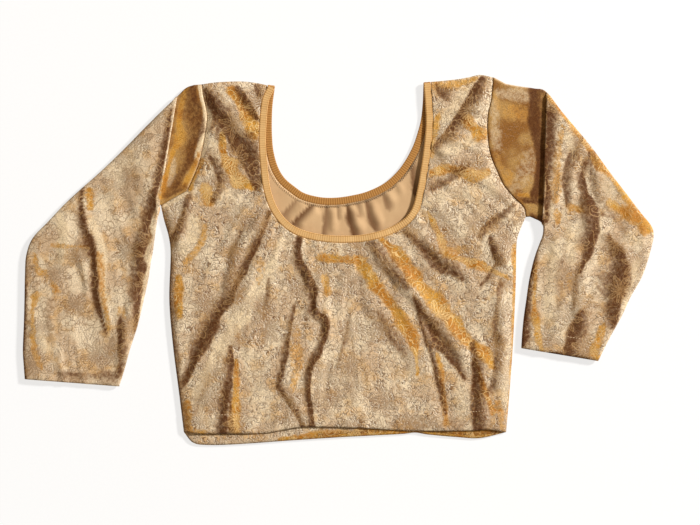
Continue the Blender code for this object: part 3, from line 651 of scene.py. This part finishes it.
def sleeve(stations, armhole, underarm, pleat_row, side, folds, drape):
    """Flattened tube from armhole to cuff, its upper cloth folded back on itself at the pleat."""
    edge = np.vstack([curve(armhole, even(48))[::-1], curve(underarm, even(12))[-2::-1]])
    over, under = even(OVER_POINTS + 1)[1:-1], even(UNDER_POINTS + 1)[1:-1]
    rings = []
    for inset, top in SEAM_RISE:
        seam = shifted(edge, side * inset)
        rings.append((*section(seam, seam, top, over, under), 1.0))
    keys = smooth([(*outer, *inner) for outer, inner, _ in stations], STATION_STEPS)
    tops = np.interp(np.arange(len(keys)) / STATION_STEPS, np.arange(len(stations)), [s[2] for s in stations])
    pleat = smooth(PLEAT, 8)
    pleat_at = even(PLEAT_RINGS)
    marks, _ = marks_of(pleat)
    pleat = np.column_stack([np.interp(pleat_at, marks, pleat[:, k]) for k in range(2)])
    at_pleat = pleat_row * STATION_STEPS
    tops[at_pleat + 1:at_pleat + STATION_STEPS] = tops[at_pleat + STATION_STEPS]   # the cloth folded over
    first = section(keys[0].reshape(2, 2), keys[0].reshape(2, 2), tops[0], over, under)
    rings += [(*((1 - t) * a + t * b for a, b in zip(rings[1][:3], first)), 1.0) for t in even(12)[1:-1]]
    for i, (key, top) in enumerate(zip(keys, tops)):
        line = key.reshape(2, 2)
        rings.append((*section(line, line, top, over, under), float(i <= at_pleat)))
        if i != at_pleat:
            continue
        plan, z, inside, _ = rings[-1]
        onward = section(*[keys[i + STATION_STEPS].reshape(2, 2)] * 2, top, over, under)[0] - plan
        onward /= np.linalg.norm(onward, axis=1)[:, None]
        for step, (depth, height) in enumerate(pleat, 1):
            moved = plan + (ease(inside / 6) * depth + 0.012 * step)[:, None] * onward
            raised = z + ease(inside / 6) * (height - z)
            rings.append((moved, raised, inside, float(step < 0.55 * len(pleat))))
    count = len(rings[0][0])
    calm_until = len(rings) - (len(keys) - at_pleat - 1)
    verts, caps = [], []
    dx, dy = drape   # the direction across the soft creases
    for row, (plan, z, inside, cap) in enumerate(rings):
        soft = rumple(plan[:, 0] * dx + plan[:, 1] * dy, plan[:, 1] * dx - plan[:, 0] * dy,
                      width=16, length=45, height=0.3 + ease((row - calm_until) / 12), seed=11)
        z = z + (fold_height(plan, folds) + soft) * ease(inside / 12)
        verts += [(x, y, h) for (x, y), h in zip(plan, z)]
        caps += [cap] * count
    faces = [(j * count + i, j * count + (i + 1) % count, (j + 1) * count + (i + 1) % count,
              (j + 1) * count + i) for j in range(len(rings) - 1) for i in range(count)]
    return verts, faces, caps


def linear(code, alpha=1.0):
    """Linear colour of an sRGB hex value."""
    parts = [int(code[i:i + 2], 16) / 255 for i in (0, 2, 4)]
    return (*(c / 12.92 if c <= 0.04045 else ((c + 0.055) / 1.055) ** 2.4 for c in parts), alpha)


def add(tree, kind, *values, out=0, sockets=None, **settings):
    """Add a node with its settings, its first inputs in order and others by name; gives back one output."""
    new = tree.nodes.new("ShaderNode" + kind)
    for key, value in settings.items():
        setattr(new, key, value)
    for key, value in [*enumerate(values), *(sockets or {}).items()]:
        if isinstance(value, bpy.types.NodeSocket):
            tree.links.new(value, new.inputs[key])
        else:
            new.inputs[key].default_value = value
    return new.outputs[out] if new.outputs else None


def new_material(name):
    """An empty material, and the adder of its nodes."""
    cloth = bpy.data.materials.new(name)
    cloth.use_nodes = True
    cloth.node_tree.nodes.clear()
    return cloth, partial(add, cloth.node_tree)


def finish_material(node, colour, roughness, height, depth, sheen, tint, specular):
    """Cloth shader: relief of the given depth in millimetres, and the sheen of its fibre ends."""
    bump = node("Bump", sockets={"Height": height, "Distance": depth * MM, "Strength": 1.0})
    shader = node("BsdfPrincipled", sockets={
        "Base Color": colour, "Roughness": roughness, "Normal": bump, "Specular IOR Level": specular,
        "Sheen Weight": sheen, "Sheen Roughness": 0.45, "Sheen Tint": linear(tint)})
    node("OutputMaterial", shader)


def velvet(name, turn, faint, strong):
    """Stretch velvet, knitted with a pile and embossed by a hot roller, here and there only faintly.

    Pressed lines lie flat and shine pale between the standing pile; on the pale ground they are drawn dark,
    the embossing with painted shade in its grooves, and their walls that face the light get a painted
    highlight. Where it is brushed the other way its deep gold shows. Where the pile stands up it gets a pale
    painted sheen. Slopes that face the key light get a painted highlight; slopes turned from it, and the
    flanks and valleys of the listed folds, get painted brown shade. The pattern is turned by an angle in
    radians, and is pressed in between faint and strong, out of 1.
    """
    cloth, node = new_material(name)
    place = node("TexCoord", out="Object")
    # in millimetres from here on
    spot = node("Mapping", place, sockets={"Rotation": (0, 0, turn), "Scale": (1 / MM, 1 / MM, 1 / MM)})
    wander = node("TexNoise", spot, out="Color", sockets={"Scale": 1 / 11, "Detail": 1.0}, **FLAT)
    wander = node("VectorMath", wander, (0.5, 0.5, 0.5), operation="SUBTRACT")
    drawn = node("VectorMath", wander, (5.0, 5.0, 0.0), spot, operation="MULTIPLY_ADD")

    calm = node("TexNoise", spot, sockets={"Scale": 1 / 13, "Detail": 1.0}, **FLAT)
    calm = node("MapRange", calm, 0.38, 0.62, faint, strong, **SMOOTH)

    def curls(at):
        """Ground: short curls pressed in, about 1 mm wide and 3 mm apart, in clusters and faint between."""
        line = node("TexNoise", at, **FLAT,
                    sockets={"Scale": 1 / 3.4, "Detail": 0.8, "Roughness": 0.5, "Distortion": 0.5})
        line = node("Math", node("Math", line, 0.5, operation="SUBTRACT"), operation="ABSOLUTE")
        line = node("MapRange", line, 0.02, 0.07, 1.0, 0.0, **SMOOTH)
        broken = node("TexNoise", at, sockets={"Scale": 1 / 5, "Detail": 0.0}, **FLAT)
        broken = node("MapRange", broken, 0.24, 0.44, **SMOOTH)
        return node("Math", node("Math", line, broken, **TIMES), calm, **TIMES)

    tufts = curls(drawn)
    # the wall of a pressed line that faces the light, pale beside the dark line
    lit = node("Math", curls(node("VectorMath", drawn, (1.0, 0.5, 0.0), operation="ADD")), tufts,
               operation="SUBTRACT", use_clamp=True)

    # one ornament in each cell of about 31 mm, in polar coordinates round the cell's point
    cell, dice = (node("TexVoronoi", drawn, out=out, sockets={"Scale": 1 / 31, "Randomness": 0.8},
                       voronoi_dimensions="2D") for out in ("Position", "Color"))
    dice_x, dice_y = (node("SeparateColor", dice, out=k) for k in (0, 1))
    local = node("VectorMath", drawn, cell, operation="SUBTRACT")
    x, y = (node("SeparateXYZ", local, out=k) for k in (0, 1))
    flat = node("CombineXYZ", x, y)
    radius = node("VectorMath", flat, operation="LENGTH", out="Value")
    angle = node("Math", dice_y, 6.28, node("Math", y, x, operation="ARCTAN2"), operation="MULTIPLY_ADD")

    def petals(count):
        """Coordinates along and across the nearest of some petals."""
        fold = node("Math", angle, math.pi / count, operation="PINGPONG")
        return (node("Math", radius, node("Math", fold, operation=part), **TIMES)
                for part in ("COSINE", "SINE"))

    # flower: five round petals and an eye, drawn as lines 1 mm wide
    along, across = petals(5)
    loop = node("VectorMath", node("CombineXYZ", node("Math", along, 5.0, operation="SUBTRACT"), across),
                operation="LENGTH", out="Value")
    loop = node("Math", loop, 3.3, 0.5, operation="COMPARE")
    eye = node("Math", radius, 1.6, 0.5, operation="COMPARE")
    flower = node("Math", loop, eye, operation="MAXIMUM")
    is_flower = node("Math", dice_x, 0.45, operation="LESS_THAN")

    # spray: seven pointed leaves with a midrib and slanting veins
    along, across = petals(7)
    bow = node("Math", node("Math", along, 9.5, operation="SUBTRACT"), 2.0, operation="POWER")
    bow = node("Math", bow, -0.040, 2.9, operation="MULTIPLY_ADD")
    rim = node("Math", across, bow, 0.5, operation="COMPARE")
    inside = node("Math", across, bow, operation="LESS_THAN")
    vein = node("Math", across, -1.3, along, operation="MULTIPLY_ADD")
    vein = node("Math", vein, 2.2, **TIMES)
    vein = node("Math", node("Math", vein, operation="SINE"), 0.25, operation="GREATER_THAN")
    rib_line = node("Math", across, 0.45, operation="LESS_THAN")
    spray = node("Math", node("Math", vein, 0.75, **TIMES), rib_line, operation="MAXIMUM")
    spray = node("Math", node("Math", spray, inside, **TIMES), rim, operation="MAXIMUM")
    spray = node("Math", spray, node("Math", radius, 17.5, operation="LESS_THAN"), **TIMES)

    # scroll: a line coiling outwards, its turns 3.4 mm apart
    coil = node("Math", node("Math", radius, 1 / 3.4, **TIMES),
                node("Math", angle, 1 / (2 * math.pi), **TIMES), operation="SUBTRACT")
    scroll = node("Math", node("Math", coil, operation="FRACT"), 0.5, 0.13, operation="COMPARE")
    scroll = node("Math", scroll, node("Math", radius, 8.0, operation="LESS_THAN"), **TIMES)
    is_scroll = node("Math", dice_x, 0.9, operation="GREATER_THAN")

    # stems wander between the ornaments
    stems = node("TexNoise", drawn, sockets={"Scale": 1 / 17, "Detail": 0.4}, **FLAT)
    stems = node("Math", stems, 0.5, 0.009, operation="COMPARE")

    spread = node("Mix", is_flower, sockets={2: spray, 3: flower})
    spread = node("Mix", is_scroll, sockets={2: spread, 3: scroll})
    reach = node("MapRange", radius, 7.0, 8.5, **SMOOTH)
    lines = node("Math", spread, node("Math", stems, reach, **TIMES), operation="MAXIMUM")
    ground = node("Math", tufts, node("MapRange", reach, 0.0, 1.0, 0.7, 1.0), **TIMES)
    # foot and bloom carry painted shade and painted highlight; tilt is how far a point faces the key light
    brushed, foot, bloom, tilt, cap = (node("Attribute", attribute_name=mark, out="Fac")
                                       for mark in ("brushed", "foot", "bloom", "tilt", "cap"))
    plain = node("Math", cap, -0.85, 1.0, operation="MULTIPLY_ADD")
    pressed = node("Math", node("Math", ground, 0.8, **TIMES), lines, operation="MAXIMUM")
    pressed = node("Math", pressed, plain, **TIMES)
    pile = node("TexNoise", spot, sockets={"Scale": 1.1, "Detail": 1.0}, **FLAT)
    relief = node("Math", pile, 0.3, pressed, operation="MULTIPLY_ADD")

    ragged = node("TexNoise", spot, sockets={"Scale": 1 / 4, "Detail": 3.0, "Roughness": 0.6}, **FLAT)
    ragged = node("Math", node("Math", ragged, 0.5, operation="SUBTRACT"), 1.0,
                  node("Math", pressed, -0.18, **TIMES), operation="MULTIPLY_ADD")

    def with_broken_edge(mark, low, high, most):
        """A mark whose edge is broken up by the pile and by the embossed lines."""
        edge = node("Math", mark, ragged, operation="ADD")
        return node("MapRange", edge, low, high, 0.0, most, **SMOOTH)

    cloud, gilt = (node("TexNoise", spot, sockets={"Scale": 1 / size, "Detail": 2.0}, **FLAT)
                   for size in (30, 19))
    cloud = node("MapRange", cloud, 0.38, 0.62, 0.0, 1.0, **SMOOTH)
    gilt = node("MapRange", gilt, 0.50, 0.70, 0.0, 0.6, **SMOOTH)
    bare = node("Math", plain, node("MapRange", bloom, 0.0, 1.0, 0.75, 0.35), **TIMES)

    # colours that run between two tones, with what decides between them
    pale, crushed, gold_pile, brown, flank = (
        node("Mix", factor, sockets={6: linear(low), 7: linear(high)}, **BLEND) for factor, low, high in (
            (cloud, "D0B492", "E8D4B4"), (cloud, "8E5E26", "B48C50"), (cloud, "B5741A", "CC9434"),
            (node("Math", pressed, 0.4, **TIMES), "582F0C", "B88C54"), (pressed, "825426", "C09A66")))
    gold = node("Mix", node("Math", pressed, 0.8, **TIMES), **BLEND,
                sockets={6: gold_pile, 7: linear("ECCB8C")})

    # each look of the pile, and the painted highlight and shade, laid over the ones before it
    for share, over in (
            (gilt, linear("D2A566")),                                         # faint gold in the pale pile
            (cap, crushed),                                                   # smooth sleeve cap
            (with_broken_edge(bloom, 0.1, 1.0, 0.85), linear("EED8B2")),                  # painted sheen: pale where the pile stands up
            (node("MapRange", tilt, 0.04, 0.35, 0.0, 0.35, **SMOOTH), linear("EAD6B8")),   # painted highlight on slopes tilted to the key light
            (node("Math", ground, bare, **TIMES), linear("663E16")),          # embossed ground, drawn dark: the pattern with painted shade in its grooves
            (node("Math", lines, node("Math", bare, 0.65, **TIMES), **TIMES), linear("7A5024")),   # ornaments, drawn dark the same way
            (node("Math", lit, bare, **TIMES), linear("FCF0DC")),             # lit walls of the pressed lines
            (with_broken_edge(brushed, 0.1, 0.6, 0.65), linear("CE9C52")),                # edge of a brushed patch
            (with_broken_edge(brushed, 0.30, 0.95, 0.95), gold),                          # and its middle
            (node("MapRange", tilt, -0.12, -0.55, 0.0, 0.6, **SMOOTH), brown),   # painted shade on slopes tilted away from the key light
            (with_broken_edge(foot, -0.10, 0.75, 0.62), flank),                           # soft painted shade on the flank of a fold
            (with_broken_edge(foot, 0.25, 1.05, 0.95), brown)):                           # and its darkest painted shade in the valley
        pale = node("Mix", share, sockets={6: pale, 7: over}, **BLEND)
    fibre = node("TexNoise", spot, sockets={"Scale": 0.75, "Detail": 1.5}, **FLAT)
    fibre = node("MapRange", fibre, 0.32, 0.68, 0.80, 1.12)
    pale = node("Mix", 1.0, sockets={6: pale, 7: fibre}, blend_type="MULTIPLY", **BLEND)
    finish_material(node, pale, 0.6, relief, depth=0.65, sheen=0.05, tint="F3E2C4", specular=0.2)
    return cloth


def knit(name):
    """Back of the stretch velvet: a matte beige jersey with fine lengthwise wales."""
    cloth, node = new_material(name)
    place = node("TexCoord", out="Object")
    wales = node("TexWave", place, sockets={"Scale": 260.0, "Distortion": 1.5, "Detail": 1.0},
                 bands_direction="X")
    cloud = node("TexNoise", place, sockets={"Scale": 60.0, "Detail": 3.0})
    colour = node("Mix", cloud, sockets={6: linear("C09C74"), 7: linear("DAB98E")}, **BLEND)
    # painted shade in the hollows between the gathers
    gather_shade = node("Attribute", attribute_name="foot", out="Fac")
    colour = node("Mix", gather_shade, sockets={6: colour, 7: linear("5E3414")}, **BLEND)
    finish_material(node, colour, 0.85, wales, depth=0.06, sheen=0.1, tint="EBD9BE", specular=0.15)
    return cloth


def ribbing(name):
    """Rib-knit binding dyed gold to match the pile.

    Its crosswise ribs are drawn 2.4 mm apart, coarser than real ones, so that they show.
    """
    cloth, node = new_material(name)
    strip = node("UVMap", uv_map="strip")
    ribs = node("Math", node("SeparateXYZ", strip), 2 * math.pi / 2.4, **TIMES)
    ribs = node("Math", node("Math", ribs, operation="SINE"), 0.5, 0.5, operation="MULTIPLY_ADD")
    cloud = node("TexNoise", strip, sockets={"Scale": 0.12, "Detail": 3.0})
    base = node("Mix", cloud, sockets={6: linear("D2A264"), 7: linear("E6C28A")}, **BLEND)
    rows = node("Math", node("SeparateXYZ", strip, out=1), BINDING_WIDTH / 2, operation="PINGPONG")
    rows = node("Math", rows, 2.0, 0.35, operation="COMPARE")
    base = node("Mix", rows, sockets={6: base, 7: linear("B08044")}, **BLEND)
    # the back part of the binding: painted darker as shade below the front binding, its ribs shown more where
    # it is stretched
    back_shade_and_stretch = node("Attribute", attribute_name="back_shade_and_stretch", out="Fac")
    base = node("Mix", back_shade_and_stretch, sockets={6: base, 7: linear("BE8C4E")}, **BLEND)
    ribs_seen = node("Math", ribs, node("MapRange", back_shade_and_stretch, 0.0, 1.0, 0.35, 1.0), **TIMES)
    colour = node("Mix", ribs_seen, blend_type="MULTIPLY", **BLEND,
                  sockets={6: base, 7: (0.66, 0.56, 0.42, 1)})
    finish_material(node, colour, 0.75, ribs, depth=0.15, sheen=0.2, tint="F0DDBB", specular=0.2)
    return cloth


def placed(name, data, node):
    """A finished mesh or curve put into the scene and handed over to its body and CAD node."""
    piece = bpy.data.objects.new(name, data)
    bpy.context.scene.collection.objects.link(piece)
    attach(piece, "root")
    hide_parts(node)
    return piece


def new_mesh(name, verts, faces, *materials):
    """A mesh from points in millimetres."""
    mesh = bpy.data.meshes.new(name)
    mesh.from_pydata((np.asarray(verts) * MM).tolist(), [], faces)
    for material in materials:
        mesh.materials.append(material)
    return mesh


def cloth_piece(name, verts, faces, wall, outer, node, marks):
    """A sheet of cloth: the outer face as modelled, its wall thickened inwards by Solidify."""
    mesh = new_mesh(name, verts, faces, outer, jersey)
    bm = bmesh.new()
    bm.from_mesh(mesh)
    bmesh.ops.remove_doubles(bm, verts=bm.verts, dist=1e-6)
    bm.to_mesh(mesh)
    bm.free()
    count = len(mesh.vertices)
    place, normal = np.empty(count * 3), np.empty(count * 3)
    mesh.vertices.foreach_get("co", place)
    mesh.vertex_normals.foreach_get("vector", normal)
    place, normal = place.reshape(-1, 3), normal.reshape(-1, 3)
    # painted marks, and how far each point faces the key light, which paints highlight and shade
    for mark, values in marks(place[:, :2] / MM, normal @ np.array(SUN_SIDE)).items():
        layer = mesh.attributes.new(mark, "FLOAT", "POINT")
        layer.data.foreach_set("value", np.asarray(values, np.float32))
    mesh.shade_smooth()
    piece = placed(name, mesh, node)
    shell = piece.modifiers.new("Cloth", "SOLIDIFY")
    shell.thickness = wall * MM
    shell.offset = -1
    shell.use_quality_normals = True
    shell.material_offset = 1
    shell.material_offset_rim = 0
    bpy.ops.object.select_all(action="DESELECT")
    bpy.context.view_layer.objects.active = piece
    piece.select_set(True)
    bpy.ops.object.modifier_apply(modifier=shell.name)
    for vertex in mesh.vertices:   # the wall never dips below the table
        vertex.co.z = max(vertex.co.z, 0.0)
    return piece


gold_velvet = velvet("embossed stretch velvet, body", turn=0.0, faint=0.55, strong=1.0)
right_velvet = velvet("embossed stretch velvet, right sleeve", turn=0.9, faint=0.15, strong=0.6)
left_velvet = velvet("embossed stretch velvet, left sleeve", turn=-0.7, faint=0.35, strong=0.9)
jersey = knit("jersey back of the velvet")
rib = ribbing("gold rib binding")

front_grids = body_grid(NECK_FRONT, HEM_FRONT, FRONT_COLUMNS, FRONT_ROWS, FRONT_CORNERS, FRONT_HEM_AT)
back_grids = body_grid(NECK_BACK, HEM_BACK, BACK_COLUMNS, BACK_ROWS, BACK_CORNERS, BACK_HEM_AT)


def marks_from(table, caps=0):
    """The painted marks of a piece (brushed pile, painted shade, painted sheen), how far each point faces the
    key light for painted highlight and shade, and where it is a smooth sleeve cap.
    """
    def marks(spots, tilt):
        painted = {mark: mark_at(spots, rows, mark == "foot") for mark, rows in table.items()}
        return {"tilt": tilt, "cap": caps + 0 * tilt, **painted}
    return marks


def face_down(faces):
    return [face[::-1] for face in faces]


front = cloth_piece("front_cloth", *grid_mesh(front_grids, front_height), WALL, gold_velvet, "front_panel",
                    marks_from(FRONT_MARKS))
verts, faces = grid_mesh(back_grids, back_height)
back = cloth_piece("back_cloth", verts, face_down(faces), WALL, gold_velvet, "back_panel",
                   marks_from(GATHER_MARKS))
verts, faces, caps = sleeve(RIGHT_STATIONS, ARMHOLE_RIGHT, UNDERARM_RIGHT, pleat_row=2, side=1,
                            folds=RIGHT_FOLDS, drape=(0.97, 0.24))
right_arm = cloth_piece("right_sleeve_cloth", verts, face_down(faces), SLEEVE_WALL, right_velvet,
                        "right_sleeve", marks_from(RIGHT_MARKS, np.array(caps)))
verts, faces, caps = sleeve(LEFT_STATIONS, ARMHOLE_LEFT, UNDERARM_LEFT, pleat_row=3, side=-1,
                            folds=LEFT_FOLDS, drape=(0.95, -0.31))
left_arm = cloth_piece("left_sleeve_cloth", verts, faces, SLEEVE_WALL, left_velvet,
                       "left_sleeve", marks_from(LEFT_MARKS, np.array(caps)))


def neck_ring():
    """Binding folded over the raw neck edge: one ring down the front neck and back along the back neck."""
    front_line = curve(NECK_FRONT, even(BINDING_STEPS))
    back_line = curve(NECK_BACK, even(BINDING_STEPS))[::-1]
    top = np.maximum(front_height(front_line) - WALL / 2, BINDING_THICK * 1.5 + SEAM + 0.05)
    top = np.convolve(np.pad(top, 12, "edge"), np.ones(25) / 25, "valid")
    path, aside = [], []
    low = np.full(BINDING_STEPS + 1, BINDING_THICK / 2)
    for line, z, hand in ((front_line, top, 1), (back_line, low, -1)):
        out = np.column_stack([hand * (shifted(line, 1) - line), np.zeros(len(line))])
        path += list(np.column_stack([line, z]))
        aside += list(out)
        start, end = (z[-1], low[0]) if hand > 0 else (low[0], top[0])
        for angle in np.radians(np.arange(15, 180, 15)):
            lean = (start + end) / 2 + (start - end) / 2 * np.cos(angle)
            path.append(np.array([*line[-1] + [0, abs(start - end) / 2 * np.sin(angle)], lean]))
            aside.append(out[-1])
    path, aside = np.array(path), np.array(aside)
    ahead = np.roll(path, -1, axis=0) - np.roll(path, 1, axis=0)
    out = np.cross(aside, ahead)
    out /= np.linalg.norm(out, axis=1)[:, None]
    run = np.r_[0, np.cumsum(np.linalg.norm(np.diff(path, axis=0), axis=1))]
    turn = np.radians(np.arange(0, 360, 15))
    wide = np.sign(np.cos(turn)) * abs(np.cos(turn)) ** 0.6
    thick = np.sign(np.sin(turn)) * abs(np.sin(turn)) ** 0.55
    groove = 1 - 0.22 * np.exp(-(wide / 0.13) ** 2)
    verts = [p + b * u * BINDING_WIDTH / 2 + n * v * BINDING_THICK / 2
             for p, b, n in zip(path, aside, out) for u, v in zip(wide, thick * groove)]
    count, size = len(path), len(turn)
    faces = [(j * size + i, j * size + (i + 1) % size, (j + 1) % count * size + (i + 1) % size,
              (j + 1) % count * size + i) for j in range(count) for i in range(size)]
    mesh = new_mesh("neck_binding_rib", verts, faces, rib)
    mesh.shade_smooth()
    # the back part of the ring, for its painted shade and stretched ribs
    back_part = mesh.attributes.new("back_shade_and_stretch", "FLOAT", "POINT")
    at_back = (np.arange(count) > BINDING_STEPS + 1) * 1.0
    back_part.data.foreach_set("value", np.repeat(at_back, size).astype(np.float32))
    strip = mesh.uv_layers.new(name="strip")
    along, across = np.repeat(run, size), np.tile(turn * BINDING_WIDTH / math.pi, count)
    index = np.empty(len(mesh.loops), int)
    mesh.loops.foreach_get("vertex_index", index)
    strip.data.foreach_set("uv", np.column_stack([along, across])[index].ravel())
    return placed(mesh.name, mesh, "neck_binding")


def on_top(piece, line):
    """Height of a piece seen from above along a plan line."""
    casts = [piece.ray_cast(Vector((x * MM, y * MM, 0.1)), Vector((0, 0, -1))) for x, y in line]
    return np.array([place.z / MM if hit else 0.0 for hit, place, *_ in casts])


def stitches(name, piece, line, node):
    """Row of raised stitches sunk into the cloth along a plan line."""
    marks, length = marks_of(line)
    at = (np.arange(int(length / STITCH)) + 0.5) * STITCH / length
    spots = np.column_stack([np.interp(at, marks, line[:, k]) for k in range(2)])
    ahead = np.gradient(spots, axis=0)
    ahead /= np.linalg.norm(ahead, axis=1)[:, None]
    heights = on_top(piece, spots)
    bm = bmesh.new()
    for (x, y), (dx, dy), z in zip(spots, ahead, heights):
        ball = bmesh.ops.create_uvsphere(bm, u_segments=8, v_segments=6, radius=0.5)["verts"]
        for v in ball:
            u, w, h = v.co.x * STITCH_LONG, v.co.y * 0.55, v.co.z * 0.5
            v.co = ((x + dx * u - dy * w) * MM, (y + dy * u + dx * w) * MM, (z + 0.06 + h) * MM)
    mesh = bpy.data.meshes.new(name)
    bm.to_mesh(mesh)
    bm.free()
    mesh.materials.append(thread)
    mesh.shade_smooth()
    return placed(name, mesh, node)


def overlock(name, line, z, node, width=2.6, pitch=2.3):
    """Thread of an overlocked edge, to and fro across the seam allowance."""
    marks, length = marks_of(line)
    steps = int(length / pitch) * 2
    at = even(steps)
    spots = np.column_stack([np.interp(at, marks, line[:, k]) for k in range(2)])
    side = shifted(spots, 1) - spots
    spots = spots + side * np.where(np.arange(len(spots)) % 2, width / 2, -width / 2)[:, None]
    data = bpy.data.curves.new(name, "CURVE")
    data.dimensions = "3D"
    data.bevel_depth = 0.28 * MM
    data.bevel_resolution = 1
    run = data.splines.new("POLY")
    run.points.add(len(spots) - 1)
    for point, (x, y) in zip(run.points, spots):
        point.co = (x * MM, y * MM, z * MM, 1)
    data.materials.append(thread)
    return placed(name, data, node)


def thread_material(name, colour):
    """Spun polyester thread, its twist too fine to show as more than a slight unevenness."""
    cloth, node = new_material(name)
    twist = node("TexNoise", node("TexCoord", out="Object"), sockets={"Scale": 900.0, "Detail": 2.0})
    shade = node("Mix", twist, sockets={6: linear(colour), 7: linear("F2DFC0")}, **BLEND)
    finish_material(node, shade, 0.6, twist, depth=0.05, sheen=0.1, tint="F2DFC0", specular=0.3)
    return cloth


binding_ring = neck_ring()
thread = thread_material("polyester sewing thread", "C9A271")


def hem_line(line, inset, first=0.03, last=0.97):
    """A line stitched at a distance inside an edge, on the edge's left-hand side."""
    return shifted(curve(line, np.linspace(first, last, 200)), -inset)


front_hem = stitches("front_hem_stitches", front, hem_line(HEM_FRONT, HEM), "front_panel")
for side, arm, stations, hand in (("right", right_arm, RIGHT_STATIONS, 1),
                                  ("left", left_arm, LEFT_STATIONS, -1)):
    outer, inner, _ = stations[-1]
    line = shifted(np.linspace(outer, inner, 60)[3:-3], -hand * HEM)
    stitches(side + "_cuff_stitches", arm, line, side + "_sleeve")

# the back hem's turned-up velvet, which shows below the front hem
inner_edge = hem_line(HEM_BACK, HEM, 0, 1)
outer_edge = curve(HEM_BACK, np.linspace(0, 1, 200))
grid = np.array([outer_edge + share * (inner_edge - outer_edge) for share in np.linspace(0, 1, 12)])


def turn_up_height(spots):
    """Top of the turned-up hem: it springs up a little but for its fold and its ends."""
    from_hem = abs(nearest(spots, outer_edge)[0])
    from_end = np.minimum(abs(spots[:, 0] - HEM_BACK[0][0]), abs(spots[:, 0] - HEM_BACK[-1][0]))
    spring = ease(from_end / 14)
    return INSIDE + 0.75 * spring - 0.9 * (1 - ease(from_hem / 2.5)) * spring


turn_up = cloth_piece("back_hem_turned_up", *grid_mesh([grid], turn_up_height), HEM_WALL, gold_velvet,
                      "back_panel", marks_from(BACK_MARKS))
overlocked = shifted(curve(NECK_BACK, np.linspace(0.04, 0.96, 400)), OVERLOCK_AT)
back_edge = overlock("back_neck_overlock", overlocked, INSIDE, "back_panel")


# the white table it lies on, lit from within so that it stays white in the key light's shadow
bpy.ops.mesh.primitive_plane_add(size=12, location=(0, 0, TABLE_Z))
table = bpy.context.object
table.name = "table"
white, node = new_material("matt white table")
grain = node("TexNoise", node("TexCoord", out="Object"), sockets={"Scale": 400.0, "Detail": 2.0})
shade = node("Mix", grain, sockets={6: (0.24, 0.24, 0.24, 1), 7: (0.27, 0.27, 0.27, 1)}, **BLEND)
shader = node("BsdfPrincipled", shade, sockets={"Roughness": 0.9, "Specular IOR Level": 0.1,
                                               "Emission Color": (1, 1, 1, 1), "Emission Strength": 0.74})
node("OutputMaterial", shader)
table.data.materials.append(white)

# straight down, in the photograph's frame: 0.735 m across
ABOVE, ACROSS = 3.0, 0.735
view = bpy.data.cameras.new("camera")
view.sensor_width, view.lens = 36, 36 * ABOVE / ACROSS
camera = bpy.data.objects.new("camera", view)
camera.location = (0.0126, -0.0026, ABOVE)
bpy.context.scene.collection.objects.link(camera)
bpy.context.scene.camera = camera


def light(name, azimuth, elevation, distance, size, power, colour):
    """A round soft lamp turned to the middle of the blouse; degrees, metres and watts."""
    lamp = bpy.data.lights.new(name, "AREA")
    lamp.shape, lamp.size, lamp.energy, lamp.color = "DISK", size, power, colour
    holder = bpy.data.objects.new(name, lamp)
    az, el = math.radians(azimuth), math.radians(elevation)
    towards = Vector((math.cos(el) * math.cos(az), math.cos(el) * math.sin(az), math.sin(el)))
    holder.location = towards * distance
    holder.rotation_euler = (-holder.location).to_track_quat("-Z", "Y").to_euler()
    bpy.context.scene.collection.objects.link(holder)


light("key", azimuth=28, elevation=31, distance=7.0, size=1.05, power=730, colour=(1.0, 0.98, 0.96))
world = bpy.data.worlds.new("studio")
world.use_nodes = True
background = world.node_tree.nodes["Background"]
background.inputs["Color"].default_value = (1, 0.82, 0.58, 1)
background.inputs["Strength"].default_value = 0.30
bpy.context.scene.world = world
bpy.context.scene.view_settings.view_transform = "Standard"
